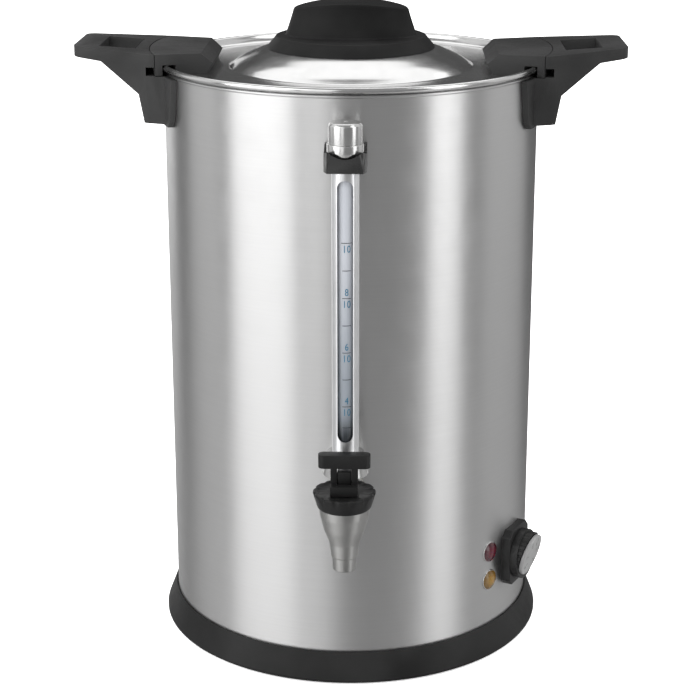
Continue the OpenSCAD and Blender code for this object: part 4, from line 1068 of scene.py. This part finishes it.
# dial
dial = {"az": 64, "height": 68, "plane": 151.45, "slope": 0.258, "figures": 6, "size": 3.4,
        "depth": 0.08, "ring": 11.4, "span": (225, -45), "tick": (2.2, 0.45, 0.72)}
dialPlate = {
    "corners": [(17, 16.6), (12, 21.6)], "low": 132, "high": 141, "edge": 0.6, "spindle": 4.85,
    "screw": (13, 1.6, 3.2, 138.2),   # off the middle, radius of its shank and head, head's seat
    "holes": (130, 145), "hollow": (30, 110),
}


def makeDialPlate(s):
    # plate with its corners cut off, hollowed to the shell behind
    (x0, y0), (x1, y1) = s["corners"]
    mesh = prism([(x0, -y0), (x0, y0), (x1, y1), (-x1, y1), (-x0, y0), (-x0, -y0), (-x1, -y1),
                  (x1, -y1)], s["low"], s["high"])
    bevelSharp(mesh, s["edge"], 20)
    place = outAt(dial["az"], dial["height"])
    mesh.transform(place)
    away, small, large, seat = s["screw"]
    deep, out = s["holes"]
    holes = [revolve([(0, deep), (s["spindle"], deep), (s["spindle"], out), (0, out)], 64)]
    for side in (-away, away):
        holes.append(revolve([(0, deep), (small, deep), (small, seat), (large, seat),
                              (large, out), (0, out)], 48))
        holes[-1].transform(atPoint(0, side, 0))
    for hole in holes:
        hole.transform(place)
    low, high = s["hollow"]
    hollow = revolve([(0, low), (shell["radius"], low), (shell["radius"], high), (0, high)], 256)
    piece("dialPlate", carve(mesh, hollow, *holes), "urn", "dialPlastic", ["dial_plate"],
          None, 34)


def makeDialFigures(s):
    # figures and ticks that lie on the slanted face
    parts = []

    def lay(mesh, x, y, turn=0.0):
        mesh.transform(Matrix.Rotation(turn, 4, "Z"))
        for v in mesh.verts:
            up = v.co.y + y
            v.co = Vector((v.co.x + x, up, s["plane"] + s["slope"] * up + v.co.z))
        mesh.transform(outAt(s["az"], s["height"]))
        parts.append(mesh)

    first, last = s["span"]
    length, width, share = s["tick"]
    for k in range(s["figures"]):
        a = math.radians(first + (last - first) * k / (s["figures"] - 1))
        x, y = s["ring"] * math.cos(a), s["ring"] * math.sin(a)
        lay(glyph(str(k), s["size"], s["depth"]), x, y)
        lay(bar(length, width, s["depth"], 2), x * share, y * share, a)
    piece("dialFigures", join(*parts), "dial", "darkInk", (), None, 40)


makeDialPlate(dialPlate)
makeDialFigures(dial)

# screws in the inlet's flange
inletScrews = {
    "az": 180, "height": 60, "apart": 20,
    "head": [(0, 137.4), (2.9, 137.4), (2.9, 138.6), (2.3, 139.6), (1.2, 140.0), (0, 140.1)],
    "rounding": [0, 0.1, 0.5, 0.6, 0.6, 0],
    "cross": (1.7, 0.32, 139.0, 141),   # half length, half width, foot and top
    "turns": {-1: -17, 1: 57},
}


def makeScrews(s):
    parts = []
    long, wide, low, high = s["cross"]
    for side, turn in s["turns"].items():
        head = revolve(soften(s["head"], s["rounding"], 4), 48)
        cross = [prism([(-w, -h), (w, -h), (w, h), (-w, h)], low, high)
                 for w, h in ((long, wide), (wide, long))]
        head = carve(head, *cross)
        head.transform(outAt(s["az"], s["height"]) @ atPoint(side * s["apart"], 0, 0)
                       @ Matrix.Rotation(math.radians(turn), 4, "Z"))
        parts.append(head)
    piece("inletScrews", join(*parts), "urn", "zincSteel", ["inlet_screws"], None, 40)


makeScrews(inletScrews)
print("lamps, dial and inlet made")
